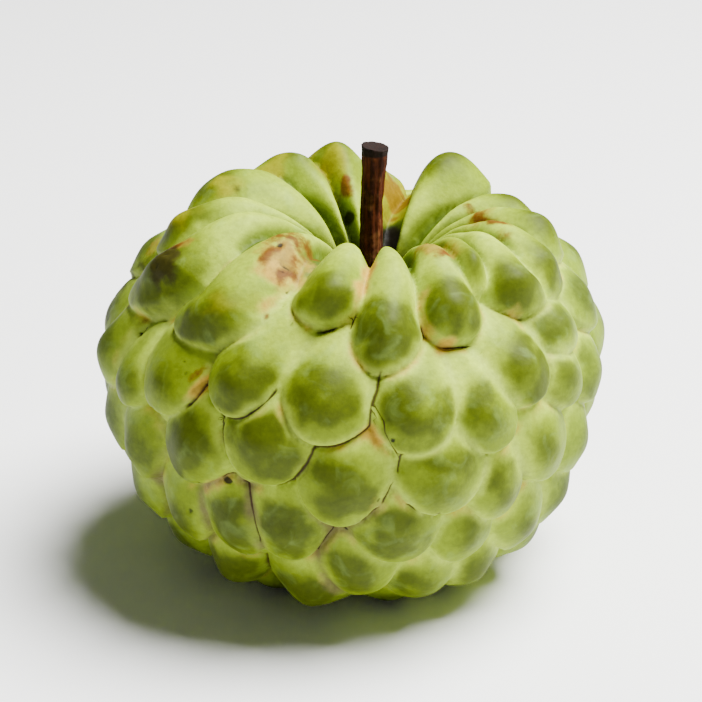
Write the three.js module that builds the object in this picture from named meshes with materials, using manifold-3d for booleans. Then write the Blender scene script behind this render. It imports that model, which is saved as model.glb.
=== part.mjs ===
import * as THREE from 'three';
import { mergeVertices } from 'three/addons/utils/BufferGeometryUtils.js';
import Module from 'manifold-3d';

// Custard apple (sugar apple) with its woody stem stub.
// Millimetres, +Z up, front towards -Y, resting on the flat spot at the origin.

// ---- driving dimensions: the fruit's body under its carpels -------------------------------
// Each station: radius, height, sideways offset of the axis. They run from the floor of the
// stem cavity, out over the shoulder, round the widest place and in to the middle of the base.
const BODY_STATIONS = [
  [0, 51, 3.1],
  [4.2, 51.2, 3.1],
  [6.4, 54.2, 3.1],
  [8.8, 59, 3.1],
  [12.6, 63.6, 3.1],
  [18, 67, 3.1],
  [24, 68.4, 3.1],
  [30.3, 65.6, 2.7],
  [36.8, 58.5, 1.7],
  [42.3, 48.8, 0.4],
  [43.8, 37, -0.6],
  [40.1, 21.5, -0.8],
  [33.5, 10.8, -0.5],
  [24.6, 4.4, 0],
  [13, 2.3, 0],
  [0, 2.2, 0],
];
// The station at the crest of the shoulder: distances along the body count from there.
const CREST_STATION = 6;
const SPLINE_STEPS = 24;
// The left shoulder stands a little higher than the right one (height gained per mm).
const SHOULDER_TILT = -0.0007;
const NORMAL_SPAN = 0.8;
const BODY_GRID = 23;
const POLE_SINE = 0.05;

// ---- driving dimensions: carpels ----------------------------------------------------------
// Rim carpels are long fingers that rise out of the cavity and over the shoulder.
// Columns: longitude (degrees from the front, + to the right), distance below the crest,
// half width, length below the knob, lean (degrees), rise.
const RIM_CARPELS = [
  [-12.3, 8.4, 6.1, 5.9, -14, 2.9],
  [5.5, 13.2, 5.9, 9.3, 0, 3.2],
  [24, 10.6, 6.3, 6.8, 8, 2.9],
  [34.5, 3.4, 3.5, 6.5, 0, 2.5],
  [48.5, 9.6, 6.4, 7, 24, 2.9],
  [65, 8.4, 6.4, 8, 0, 2.6],
  [85, 4.9, 6.6, 8.5, 0, 2.1],
  [111, 3.7, 6.8, 8.5, 0, 0.8],
  [142, -1.3, 6.9, 9.5, 0, 3.3],
  [174, -0.3, 3.9, 8.5, 0, 0.2],
  [-163, -2.3, 5.6, 8.5, 0, 3.1],
  [-137, -1.3, 6.6, 8.5, 0, 2.1],
  [-110, 3.5, 8.4, 8.5, 0, 2.2],
  [-86, 7.7, 6, 9.5, -16, 2.2],
  [-69, 13.4, 6.8, 12, -26, 3],
  [-41, 15.4, 8.8, 7.8, -28, 3.1],
];
// Carpels of the front, each with its own place.
// Columns: longitude, distance below the crest, half width, length above and below the
// crown, lean, rise.
const FRONT_CARPELS = [
  [-27.5, 24.1, 6.6, 16.6, 8.5, -24, 3.4],
  [-7, 25.4, 7.9, 12.5, 9.1, -24, 2.9],
  [12.5, 26.6, 7.6, 13, 9, 4, 2.9],
  [30, 29.1, 6, 12, 8.8, 20, 2.4],
  [41.5, 23.1, 6.4, 12, 7.9, 18, 2.6],
  [58.5, 19.1, 6.2, 10, 6.6, 8, 2.4],
  [-49, 28.1, 7, 11, 8, 0, 2.6],
  [-78, 31.1, 6.4, 10.5, 9, -10, 3.2],
  [-64, 32.1, 5.4, 8, 7, 0, 2.1],
  [-37.5, 37.1, 6.9, 11, 9.8, -18, 2.6],
  [-20, 33.1, 8.2, 14, 9.7, -9, 2.7],
  [-1.5, 39.9, 7.7, 13, 10.2, -16, 2.7],
  [20.5, 39.6, 8.2, 12.5, 8.8, 0, 2.9],
  [35.5, 44.1, 6, 10, 8.6, 6, 2.3],
  [48.5, 38.6, 6.4, 11, 10, 24, 2.4],
  [55, 27.1, 5.8, 9, 8, 26, 2.4],
  [71.5, 30.1, 6.2, 9, 7.8, 0, 2.3],
  [66, 43.1, 6.2, 9, 8.8, 14, 2.3],
  [-30.5, 52.6, 6.2, 9.5, 8.3, 18, 2.1],
  [-16, 50.9, 6.6, 10.5, 8.6, 3, 2.3],
  [11, 49.6, 7.7, 11.5, 9.6, 4, 2.6],
  [28.5, 54.1, 6, 9, 7.8, 8, 2],
  [48, 56.1, 6.2, 9, 10, 26, 2.3],
  [-47, 54.1, 6, 9.5, 7.8, 18, 2.1],
  [-61, 44.1, 6.2, 9, 8.2, 6, 2.3],
  [-36.5, 65.6, 5.8, 9, 9.6, -12, 3.1],
  [2, 60.6, 6.6, 10, 10, 0, 2.8],
  [21.5, 65.6, 6.6, 9.5, 10.5, 6, 2.8],
  [-12.5, 68.1, 7.6, 10.5, 10.5, -4, 3.3],
  [37.5, 66.1, 6, 9, 9.5, 14, 2.8],
];
// Rings of carpels that close the sides, the back and the underside.
// Columns: distance below the crest, number in a full ring, half width, length above and
// below the crown, rise.
const TIERS = [
  [18.7, 14, 7.2, 11, 8, 2.3],
  [30.7, 17, 7.2, 11, 8.5, 2.3],
  [42.7, 19, 7, 11, 9, 2.3],
  [54.7, 18, 6.8, 10.5, 9, 2.2],
  [66.7, 16, 6.6, 10, 9, 2.1],
  [78.2, 13, 6.4, 9, 8.6, 2],
  [90.2, 9, 6.2, 8, 7.5, 1.9],
  [100.2, 4, 5.6, 6, 5.5, 1.8],
];
const LAST_CARPEL_SIZE = 5.6;
const LAST_CARPEL_RISE = 2;
const TIER_SEED = 7;
const TIER_TURN_JITTER = 0.1;
const TIER_DROP_JITTER = 2.4;
const TIER_LEAN_JITTER = 0.35;
const TIER_WIDTH_SPREAD = [0.94, 0.12];
const TIER_RISE_SPREAD = [0.9, 0.2];
// A ring's place is left out where a placed carpel already lies this close (share of widths).
const CLEAR_OF_FRONT = 0.8;
const CLEAR_OF_RIM = 0.92;
const SETTLING_ROUNDS = 40;
const SETTLING_REACH = 22;
const SETTLING_STEP = 1.6;
const SETTLING_SIDE_SHARE = 0.93;
const SETTLING_LENGTH_SHARE = 0.62;
const SETTLING_DROP_SHARE = 0.8;
const HIGHEST_RING_DROP = 12.7;
const LOWEST_RING_MARGIN = 5;

// ---- driving dimensions: the swelling of one carpel ---------------------------------------
const SIDE_POWER = 2.25;
const UPPER_END_POWER = 2;
const FINGER_END_POWER = 8;
// A finger narrows as the cavity does, and the groove beside it grows deeper than a dome's.
const FINGER_FULL_SHARE = 0.85;
const NARROWEST_FINGER = 0.05;
const FINGER_FLANK = 5;
const FINGER_FLANK_START = 9;
const FINGER_FLANK_SPAN = 12;
const FINGER_EDGE_DROP = 1;
const FINGER_LIP = 1.2;
const FINGER_LIP_LENGTH = 14;
const FINGER_ROOT = 31;
// A finger flattens as it narrows into the cavity: share of its rise kept at no width at all.
const FINGER_ROOT_RISE = 0.6;
const CARPEL_OVERLAP = 1.07;
const CARPEL_NARROWING = 0.34;
const CARPEL_NARROWING_POWER = 1.6;
const TIP_NARROWING = 0.14;
// The lower end stands proud of the next tier, and the upper end is tucked under the last one.
const CARPEL_LIP = 1.7;
const CARPEL_TUCK = 1.3;
const LONGEST_REACH = 1.2;
// A carpel's rise is shared out between its broad dome and the crown on it.
const DOME_SHARE = 0.62;
const CROWN_SHARE = 0.55;
const CROWN_WIDTH = 0.6;
const CROWN_STRETCH = 1.15;
const CROWN_PLACE = 0.2;
// Its edge falls away steeply at the sides, more so at the lip, and hardly at all above.
const EDGE_DROP_SIDE = 0.6;
const EDGE_DROP_LIP = 2;
const EDGE_DROP_START = 0.8;
const EDGE_DROP_SPAN = 0.45;
const DEEPEST_EDGE = 2.2;
const EDGE_LIMIT = 6;
const BELOW_ALL = -9;
const VALLEY_DEPTH = 2.2;
// A place further than this from a carpel's own plane isn't on it.
const OFF_PLANE = 14;
const OUT_OF_REACH = 99;
const JOIN_SOFTNESS = 0.5;
// Grid points closer to a groove than this share of the grid's spacing are moved onto it.
const GROOVE_REACH = 0.43;
const SLOPE_STEP = 0.2;
const BASE_MARGIN = 4;
// Fingers swing round the cavity as they go in.
// Columns: longitude, half width and greatest swing, in degrees.
const SWINGS = [[72, 45, 15], [-130, 25, -14]];
const SWING_START = 10;
const SWING_SPAN = 24;
// The carpels sink away towards the foot of the stem over this stretch of the cavity.
const CAVITY_FADE_START = 3;
const CAVITY_FADE_LENGTH = 13;
// Hollows where neighbours never closed up.
// Columns: longitude, distance below the crest, half width, half length, depth.
const DENTS = [
  [167, -1, 3.6, 12, 4.5],
  [112, 0, 9, 12, 1],
  [-27, 76, 2.6, 6, 3.5],
];

// ---- driving dimensions: stem stub --------------------------------------------------------
const STEM_TOP = 80.6;
const STEM_SIDES = 24;
const STEM_ROWS = 16;
// Columns: height, radius, sideways offset.
const STEM_STATIONS = [
  [48, 2.3, 2.9],
  [52, 2.3, 2.9],
  [56, 2.25, 2.85],
  [62, 2.15, 2.75],
  [70, 2, 2.8],
  [76, 2.15, 3.2],
  [81, 2.5, 3.45],
];
const STEM_CUT_SLOPE = 0.14;
const SOCKET_GAP = 0.3;
const SOCKET_TOP = 53;

// ---- small mathematics --------------------------------------------------------------------
function clamp(value, low, high) {
  return Math.min(high, Math.max(low, value));
}

function smoothstep(value) {
  const t = clamp(value, 0, 1);
  return t * t * (3 - 2 * t);
}

function wrapAngle(angle) {
  const turn = 2 * Math.PI;
  return ((((angle + Math.PI) % turn) + turn) % turn) - Math.PI;
}

// Park-Miller draws between 0 and 1.
function seededDraws(seed) {
  let state = seed;
  return () => {
    state = (state * 16807) % 2147483647;
    return state / 2147483647;
  };
}

// ---- the fruit's body ---------------------------------------------------------------------
// Points along the smooth line through the stations, with the distance run at each one.
function bodyLine() {
  const points = [];
  const last = BODY_STATIONS.length - 1;
  for (let i = 0; i < last; i += 1) {
    const before = BODY_STATIONS[Math.max(i - 1, 0)];
    const from = BODY_STATIONS[i];
    const to = BODY_STATIONS[i + 1];
    const after = BODY_STATIONS[Math.min(i + 2, last)];
    for (let k = 0; k < SPLINE_STEPS; k += 1) {
      const t = k / SPLINE_STEPS;
      points.push(from.map((value, j) => {
        const leave = (to[j] - before[j]) / 2;
        const arrive = (after[j] - value) / 2;
        const cubic = (2 * value - 2 * to[j] + leave + arrive) * t ** 3;
        const square = (3 * to[j] - 3 * value - 2 * leave - arrive) * t ** 2;
        return cubic + square + leave * t + value;
      }));
    }
  }
  points.push(BODY_STATIONS[last]);
  const run = [0];
  for (let i = 1; i < points.length; i += 1) {
    const step = Math.hypot(points[i][0] - points[i - 1][0], points[i][1] - points[i - 1][1]);
    run.push(run[i - 1] + step);
  }
  const crest = run[CREST_STATION * SPLINE_STEPS];
  return { points, drop: run.map((distance) => distance - crest) };
}

const LINE = bodyLine();
const DROP_START = LINE.drop[0];
const DROP_END = LINE.drop[LINE.drop.length - 1];

// Radius, height and sideways offset of the body at a distance below the crest.
function bodyAt(drop) {
  const { points, drop: drops } = LINE;
  const here = clamp(drop, DROP_START, DROP_END);
  let low = 0;
  let high = drops.length - 1;
  while (high - low > 1) {
    const middle = (low + high) >> 1;
    if (drops[middle] <= here) {
      low = middle;
    } else {
      high = middle;
    }
  }
  const share = (here - drops[low]) / (drops[high] - drops[low]);
  return points[low].map((value, j) => value + (points[high][j] - value) * share);
}

function bodyPoint(longitude, drop) {
  const [radius, height, offset] = bodyAt(drop);
  const x = radius * Math.sin(longitude) + offset;
  const y = -radius * Math.cos(longitude);
  return new THREE.Vector3(x, y, height * (1 + SHOULDER_TILT * x));
}

function bodyNormal(longitude, drop) {
  const [radiusAbove, heightAbove] = bodyAt(drop - NORMAL_SPAN);
  const [radiusBelow, heightBelow] = bodyAt(drop + NORMAL_SPAN);
  const outward = heightAbove - heightBelow;
  const upward = radiusBelow - radiusAbove;
  const normal = new THREE.Vector3(
    outward * Math.sin(longitude),
    -outward * Math.cos(longitude),
    upward,
  );
  return normal.normalize();
}

// ---- where the carpels sit ----------------------------------------------------------------
function placedCarpels() {
  const carpels = [];
  for (const [turn, drop, width, below, lean, rise] of RIM_CARPELS) {
    carpels.push({
      finger: true,
      longitude: THREE.MathUtils.degToRad(turn),
      drop,
      width,
      above: drop + FINGER_ROOT,
      below,
      lean: THREE.MathUtils.degToRad(lean),
      rise,
    });
  }
  for (const [turn, drop, width, above, below, lean, rise] of FRONT_CARPELS) {
    carpels.push({
      finger: false,
      longitude: THREE.MathUtils.degToRad(turn),
      drop,
      width,
      above,
      below,
      lean: THREE.MathUtils.degToRad(lean),
      rise,
    });
  }
  return carpels;
}

// True where a ring's place is free of the carpels that have their own places.
function isFree(longitude, drop, width, placed) {
  const radius = bodyAt(drop)[0];
  return placed.every((other) => {
    const sideways = wrapAngle(longitude - other.longitude) * radius;
    const room = other.finger
      ? CLEAR_OF_RIM * (width + 0.5 * other.below)
      : CLEAR_OF_FRONT * (width + other.width);
    return Math.hypot(sideways, drop - other.drop) >= room;
  });
}

function tierCarpels(placed) {
  const draw = seededDraws(TIER_SEED);
  const carpels = [];
  TIERS.forEach(([tierDrop, count, width, above, below, rise], tier) => {
    for (let k = 0; k < count; k += 1) {
      const turn = (2 * Math.PI * (k + 0.5 * (tier % 2))) / count;
      const longitude = wrapAngle(turn + (draw() - 0.5) * TIER_TURN_JITTER);
      const drop = tierDrop + (draw() - 0.5) * TIER_DROP_JITTER;
      const size = draw();
      const lean = (draw() - 0.5) * TIER_LEAN_JITTER;
      if (isFree(longitude, drop, width, placed)) {
        carpels.push({
          finger: false,
          longitude,
          drop,
          width: width * (TIER_WIDTH_SPREAD[0] + TIER_WIDTH_SPREAD[1] * size),
          above,
          below,
          lean,
          rise: rise * (TIER_RISE_SPREAD[0] + TIER_RISE_SPREAD[1] * size),
        });
      }
    }
  });
  return carpels;
}

function lastCarpel() {
  return {
    finger: false,
    longitude: 0,
    drop: DROP_END - 0.01,
    width: LAST_CARPEL_SIZE,
    above: LAST_CARPEL_SIZE,
    below: LAST_CARPEL_SIZE,
    lean: 0,
    rise: LAST_CARPEL_RISE,
  };
}

// How far one carpel is pushed sideways and down by another that stands too close.
function pushFrom(carpel, other, radius) {
  const sideways = wrapAngle(carpel.longitude - other.longitude) * radius;
  const down = carpel.drop - other.drop;
  if (Math.abs(sideways) > SETTLING_REACH || Math.abs(down) > SETTLING_REACH) {
    return [0, 0];
  }
  const lengths = down < 0 ? carpel.below + other.above : carpel.above + other.below;
  const along = down / (SETTLING_LENGTH_SHARE * lengths);
  const across = sideways / (SETTLING_SIDE_SHARE * (carpel.width + other.width));
  const closeness = Math.hypot(across, along);
  if (closeness >= 1 || closeness < 0.001) {
    return [0, 0];
  }
  const push = ((1 - closeness) * SETTLING_STEP) / (Math.hypot(sideways, down) + 1e-6);
  return [push * sideways, push * down];
}

// The ring carpels crowd one another until their spacing is even.
function settle(free, all) {
  for (let round = 0; round < SETTLING_ROUNDS; round += 1) {
    for (const carpel of free) {
      const radius = bodyAt(carpel.drop)[0];
      let sideways = 0;
      let down = 0;
      for (const other of all) {
        if (other !== carpel) {
          const [pushSideways, pushDown] = pushFrom(carpel, other, radius);
          sideways += pushSideways;
          down += pushDown;
        }
      }
      carpel.longitude = wrapAngle(carpel.longitude + sideways / radius);
      const lower = carpel.drop + SETTLING_DROP_SHARE * down;
      carpel.drop = clamp(lower, HIGHEST_RING_DROP, DROP_END - LOWEST_RING_MARGIN);
    }
  }
}

function withFrame(carpel) {
  const { longitude, drop } = carpel;
  const centre = bodyPoint(longitude, drop);
  const normal = bodyNormal(longitude, drop);
  const side = new THREE.Vector3(Math.cos(longitude), Math.sin(longitude), 0);
  const down = new THREE.Vector3().crossVectors(side, normal).normalize();
  return { ...carpel, centre, normal, side, down, radius: bodyAt(drop)[0] };
}

function allCarpels() {
  const placed = placedCarpels();
  const free = tierCarpels(placed);
  const all = [...placed, ...free, lastCarpel()];
  settle(free, all);
  return all.map(withFrame);
}

// ---- how far the carpels swell out of the body --------------------------------------------
const VALLEY = {};

// Turn of the fingers' roots round the cavity at a place.
function rootSwing(longitude, drop) {
  let swing = 0;
  for (const [centre, width, most] of SWINGS) {
    const away = wrapAngle(longitude - THREE.MathUtils.degToRad(centre));
    const share = Math.exp(-((away / THREE.MathUtils.degToRad(width)) ** 2));
    swing += THREE.MathUtils.degToRad(most) * share;
  }
  return swing * smoothstep((SWING_START - drop) / SWING_SPAN);
}

// Distances along a carpel's own width and length, its crown at the origin.
function fingerPlace(carpel, longitude, drop) {
  const along = drop - carpel.drop;
  const bend = along > 0 ? along * Math.tan(carpel.lean) : 0;
  const turn = wrapAngle(longitude - rootSwing(longitude, drop) - carpel.longitude);
  return [turn * carpel.radius - bend, along];
}

function carpelPlace(carpel, point) {
  const offset = point.clone().sub(carpel.centre);
  if (Math.abs(offset.dot(carpel.normal)) > OFF_PLANE) {
    return [OUT_OF_REACH, 0];
  }
  const across = offset.dot(carpel.side);
  const along = offset.dot(carpel.down);
  const cosine = Math.cos(carpel.lean);
  const sine = Math.sin(carpel.lean);
  return [across * cosine - along * sine, across * sine + along * cosine];
}

// Share of a carpel's width left at a reach towards its upper or lower end.
function widthShare(carpel, above, reach, narrowed) {
  if (!above) {
    return 1 - TIP_NARROWING * clamp(reach, 0, 1) ** 2;
  }
  if (carpel.finger) {
    return clamp(narrowed / FINGER_FULL_SHARE, NARROWEST_FINGER, 1);
  }
  return 1 - CARPEL_NARROWING * clamp(reach, 0, 1) ** CARPEL_NARROWING_POWER;
}

function endPower(carpel, above) {
  if (!above) {
    return SIDE_POWER;
  }
  return carpel.finger ? FINGER_END_POWER : UPPER_END_POWER;
}

function lipHeight(carpel, along, reach) {
  if (carpel.finger) {
    return FINGER_LIP * clamp(1 + along / FINGER_LIP_LENGTH, 0, 1);
  }
  return (along < 0 ? -CARPEL_TUCK : CARPEL_LIP) * clamp(reach, 0, LONGEST_REACH);
}

function edgeDrop(carpel, above, reach) {
  if (above && carpel.finger) {
    return FINGER_EDGE_DROP;
  }
  if (above) {
    return EDGE_DROP_SIDE * (1 - smoothstep(2 * reach));
  }
  return EDGE_DROP_SIDE + (EDGE_DROP_LIP - EDGE_DROP_SIDE) * smoothstep(LONGEST_REACH * reach);
}

function swelling(carpel, across, along, radius) {
  const above = along < 0;
  const reach = above ? -along / carpel.above : along / carpel.below;
  const narrowed = clamp(radius / carpel.radius, 0, 1);
  const width = CARPEL_OVERLAP * carpel.width * widthShare(carpel, above, reach, narrowed);
  const end = Math.min(reach, 3) ** endPower(carpel, above);
  const edge = (Math.abs(across) / width) ** SIDE_POWER + end;
  if (edge > EDGE_LIMIT) {
    return BELOW_ALL;
  }
  const crownAcross = across / (CROWN_WIDTH * carpel.width);
  const crownStart = along - CROWN_PLACE * carpel.below;
  const crownAlong = crownStart / (CROWN_STRETCH * CROWN_WIDTH * carpel.width);
  const crown = CROWN_SHARE * carpel.rise * Math.exp(-(crownAcross ** 2) - crownAlong ** 2);
  let dome = DOME_SHARE * carpel.rise;
  let flank = dome;
  if (carpel.finger) {
    const root = FINGER_ROOT_RISE + (1 - FINGER_ROOT_RISE) * narrowed;
    const deepening = smoothstep((FINGER_FLANK_START - along) / FINGER_FLANK_SPAN);
    dome *= above ? root : 1;
    flank += (FINGER_FLANK * root - flank) * deepening;
  }
  const edgeFall = smoothstep((edge - EDGE_DROP_START) / EDGE_DROP_SPAN);
  const fall = flank * Math.min(edge, DEEPEST_EDGE) + edgeDrop(carpel, above, reach) * edgeFall;
  return dome + crown - fall + lipHeight(carpel, along, reach);
}

function heightOf(carpel, longitude, drop) {
  if (carpel === VALLEY) {
    return -VALLEY_DEPTH;
  }
  const [across, along] = carpel.finger
    ? fingerPlace(carpel, longitude, drop)
    : carpelPlace(carpel, bodyPoint(longitude, drop));
  return swelling(carpel, across, along, bodyAt(drop)[0]);
}

// The two highest things at a place, either of which may be the valley's floor.
function twoHighest(carpels, longitude, drop) {
  let top = { carpel: VALLEY, height: -VALLEY_DEPTH };
  let next = { carpel: null, height: BELOW_ALL };
  for (const carpel of carpels) {
    const height = heightOf(carpel, longitude, drop);
    if (height > top.height) {
      next = top;
      top = { carpel, height };
    } else if (height > next.height) {
      next = { carpel, height };
    }
  }
  return [top, next];
}

// Depth of the hollows pressed into the body at a place.
function dentDepth(longitude, drop) {
  let depth = 0;
  for (const [turn, centre, halfWidth, halfLength, deepest] of DENTS) {
    const offset = wrapAngle(longitude - THREE.MathUtils.degToRad(turn));
    const sideways = (offset * bodyAt(centre)[0]) / halfWidth;
    const down = (drop - centre) / halfLength;
    depth += deepest * Math.exp(-(sideways ** 2) - down ** 2);
  }
  return depth;
}

// The highest carpel shows; where two meet the groove between them is rounded.
function reliefAt(carpels, longitude, drop) {
  const [top, next] = twoHighest(carpels, longitude, drop);
  const blend = Math.max(JOIN_SOFTNESS - (top.height - next.height), 0);
  const joined = top.height + blend ** 2 / (4 * JOIN_SOFTNESS);
  const fromFoot = (drop - DROP_START - CAVITY_FADE_START) / CAVITY_FADE_LENGTH;
  return (joined - dentDepth(longitude, drop)) * smoothstep(fromFoot);
}

// A place close to a groove moves onto the groove's line, so that the grid follows it.
function ontoGroove(carpels, longitude, drop, spacing) {
  const radius = bodyAt(drop)[0];
  const [top, next] = twoHighest(carpels, longitude, drop);
  const inCavity = drop < DROP_START + CAVITY_FADE_LENGTH;
  if (next.carpel === null || inCavity || drop > DROP_END - BASE_MARGIN) {
    return [longitude, drop];
  }
  const gap = (turn, down) => heightOf(top.carpel, turn, down) - heightOf(next.carpel, turn, down);
  const here = gap(longitude, drop);
  const slopeSide = (gap(longitude + SLOPE_STEP / radius, drop) - here) / SLOPE_STEP;
  const slopeDown = (gap(longitude, drop + SLOPE_STEP) - here) / SLOPE_STEP;
  const steepness = slopeSide ** 2 + slopeDown ** 2;
  const distance = here / Math.sqrt(steepness);
  if (!(distance < GROOVE_REACH * spacing)) {
    return [longitude, drop];
  }
  const sideways = (here * slopeSide) / steepness / radius;
  return [longitude - sideways, drop - (here * slopeDown) / steepness];
}

// ---- solids -------------------------------------------------------------------------------
function closedGeometry(geometry) {
  geometry.deleteAttribute('normal');
  geometry.deleteAttribute('uv');
  return mergeVertices(geometry, 1e-4);
}

// A fine ball whose directions are laid over the body and lifted by the carpels.
function fruitBody(carpels) {
  const geometry = closedGeometry(new THREE.IcosahedronGeometry(1, BODY_GRID));
  const position = geometry.getAttribute('position');
  const gridAngle = Math.atan(2) / (BODY_GRID + 1);
  for (let i = 0; i < position.count; i += 1) {
    const direction = new THREE.Vector3().fromBufferAttribute(position, i).normalize();
    const polar = Math.acos(clamp(direction.z, -1, 1)) / Math.PI;
    const gridLongitude = Math.atan2(direction.x, -direction.y);
    const gridDrop = DROP_START + (DROP_END - DROP_START) * polar;
    const stretch = bodyAt(gridDrop)[0] / Math.max(Math.sin(polar * Math.PI), POLE_SINE);
    const spacing = gridAngle * Math.min(stretch, (DROP_END - DROP_START) / Math.PI);
    const [longitude, drop] = ontoGroove(carpels, gridLongitude, gridDrop, spacing);
    const relief = reliefAt(carpels, longitude, drop);
    const point = bodyPoint(longitude, drop);
    point.addScaledVector(bodyNormal(longitude, drop), relief);
    position.setXYZ(i, point.x, point.y, Math.max(point.z, 0));
  }
  return geometry;
}

// Radius and sideways offset of the stem at a height.
function stemAt(height) {
  const last = STEM_STATIONS.length - 1;
  const above = STEM_STATIONS.findIndex(([level]) => level >= height);
  const upper = above < 0 ? last : Math.max(above, 1);
  const [lowLevel, lowRadius, lowOffset] = STEM_STATIONS[upper - 1];
  const [highLevel, highRadius, highOffset] = STEM_STATIONS[upper];
  const share = smoothstep((height - lowLevel) / (highLevel - lowLevel));
  const radius = lowRadius + (highRadius - lowRadius) * share;
  return [radius, lowOffset + (highOffset - lowOffset) * share];
}

function stemStub() {
  const foot = STEM_STATIONS[0][0];
  const length = STEM_TOP - foot;
  const rod = new THREE.CylinderGeometry(1, 1, length, STEM_SIDES, STEM_ROWS);
  rod.rotateX(Math.PI / 2);
  rod.translate(0, 0, foot + length / 2);
  const geometry = closedGeometry(rod);
  const position = geometry.getAttribute('position');
  for (let i = 0; i < position.count; i += 1) {
    const height = position.getZ(i);
    const [radius, offset] = stemAt(height);
    const x = position.getX(i) * radius;
    const cut = height > STEM_TOP - 0.01 ? -STEM_CUT_SLOPE * x : 0;
    position.setXYZ(i, x + offset, position.getY(i) * radius, height + cut);
  }
  return geometry;
}

// The hole in the floor of the cavity that the stem grows out of.
function stemSocket() {
  const [footLevel, footRadius, footOffset] = STEM_STATIONS[0];
  const bottom = footLevel - SOCKET_GAP;
  const depth = SOCKET_TOP - bottom;
  const radius = footRadius + SOCKET_GAP;
  const hole = new THREE.CylinderGeometry(radius, radius, depth, STEM_SIDES);
  hole.rotateX(Math.PI / 2);
  hole.translate(footOffset, 0, bottom + depth / 2);
  return closedGeometry(hole);
}

// ---- cutting ------------------------------------------------------------------------------
const solids = await Module();
solids.setup();

function toSolid(geometry) {
  const vertProperties = new Float32Array(geometry.getAttribute('position').array);
  const triVerts = new Uint32Array(geometry.getIndex().array);
  return new solids.Manifold(new solids.Mesh({ numProp: 3, vertProperties, triVerts }));
}

function toGeometry(solid) {
  const mesh = solid.getMesh();
  const geometry = new THREE.BufferGeometry();
  const vertices = new THREE.BufferAttribute(mesh.vertProperties, mesh.numProp);
  geometry.setAttribute('position', vertices);
  geometry.setIndex(new THREE.BufferAttribute(mesh.triVerts, 1));
  return geometry;
}

// ---- assembly -----------------------------------------------------------------------------
const skin = new THREE.MeshStandardMaterial({ name: 'skin', color: 0x9db356, roughness: 0.5 });
const wood = new THREE.MeshStandardMaterial({ name: 'wood', color: 0x4a2a18, roughness: 0.8 });

const fruitSolid = toSolid(fruitBody(allCarpels())).subtract(toSolid(stemSocket()));
const fruit = new THREE.Mesh(toGeometry(fruitSolid), skin);
fruit.name = 'fruit';

const stem = new THREE.Mesh(stemStub(), wood);
stem.name = 'stem';

const group = new THREE.Group();
group.name = 'custard_apple';
group.add(fruit, stem);

export default group;
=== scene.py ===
"""A custard apple with its stem stub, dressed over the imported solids."""
import math

import bpy
import numpy as np
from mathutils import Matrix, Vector, noise


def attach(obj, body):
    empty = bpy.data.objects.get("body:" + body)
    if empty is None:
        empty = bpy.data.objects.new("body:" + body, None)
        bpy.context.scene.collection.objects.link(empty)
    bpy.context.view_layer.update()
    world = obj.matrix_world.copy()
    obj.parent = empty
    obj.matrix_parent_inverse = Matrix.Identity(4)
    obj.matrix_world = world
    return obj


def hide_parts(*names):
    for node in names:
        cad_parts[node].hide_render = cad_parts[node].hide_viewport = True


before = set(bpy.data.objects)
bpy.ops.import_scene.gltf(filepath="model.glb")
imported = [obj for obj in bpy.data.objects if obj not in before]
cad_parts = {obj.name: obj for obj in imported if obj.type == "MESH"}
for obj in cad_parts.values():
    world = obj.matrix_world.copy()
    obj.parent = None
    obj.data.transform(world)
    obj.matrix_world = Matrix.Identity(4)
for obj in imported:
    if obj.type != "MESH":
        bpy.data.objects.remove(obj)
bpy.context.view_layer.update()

# ---- the fruit ----
# One fleshy ball of about a hundred carpels grown together round a core, squat, with a deep
# cavity where the stalk stands. It is all one unbroken green rind, waxy and lightly scarred.
# The body comes first, without the carpels' swellings.
MM = 0.001
# Radius, height and sideways offset of the axis, in mm, from the cavity's floor over the
# shoulder and round to the middle of the base.
BODY_STATIONS = np.array([
    (0, 51, 3.1), (4.2, 51.2, 3.1), (6.4, 54.2, 3.1), (8.8, 59, 3.1),
    (12.6, 63.6, 3.1), (18, 67, 3.1), (24, 68.4, 3.1), (30.3, 65.6, 2.7),
    (36.8, 58.5, 1.7), (42.3, 48.8, 0.4), (43.8, 37, -0.6), (40.1, 21.5, -0.8),
    (33.5, 10.8, -0.5), (24.6, 4.4, 0), (13, 2.3, 0), (0, 2.2, 0),
])
CREST_STATION = 6
SPLINE_STEPS = 24
SHOULDER_TILT = -0.0007
NORMAL_STEP = 0.8


def body_line():
    """Points along the smooth line through the stations, and the run below the crest."""
    ends = BODY_STATIONS[:1], BODY_STATIONS[-1:]
    padded = np.concatenate([ends[0], BODY_STATIONS, ends[1]])
    t = (np.arange(SPLINE_STEPS) / SPLINE_STEPS)[:, None]
    points = []
    for before, start, end, after in zip(padded, padded[1:], padded[2:], padded[3:]):
        leave = (end - before) / 2
        arrive = (after - start) / 2
        cubic = (2 * start - 2 * end + leave + arrive) * t ** 3
        square = (3 * end - 3 * start - 2 * leave - arrive) * t ** 2
        points.append(cubic + square + leave * t + start)
    points = np.concatenate([*points, ends[1]])
    steps = np.hypot(np.diff(points[:, 0]), np.diff(points[:, 1]))
    run = np.concatenate([[0], np.cumsum(steps)])
    return points, run - run[CREST_STATION * SPLINE_STEPS]


LINE_POINTS, LINE_DROP = body_line()
DROP_START = LINE_DROP[0]
DROP_END = LINE_DROP[-1]


def body_at(drop):
    """Radius, height and sideways offset of the body at a distance below the crest."""
    return [np.interp(drop, LINE_DROP, LINE_POINTS[:, j]) for j in range(3)]


def body_point(longitude, drop):
    radius, height, offset = body_at(drop)
    x = radius * np.sin(longitude) + offset
    y = -radius * np.cos(longitude)
    return np.stack([x, y, height * (1 + SHOULDER_TILT * x)], -1)


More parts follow.
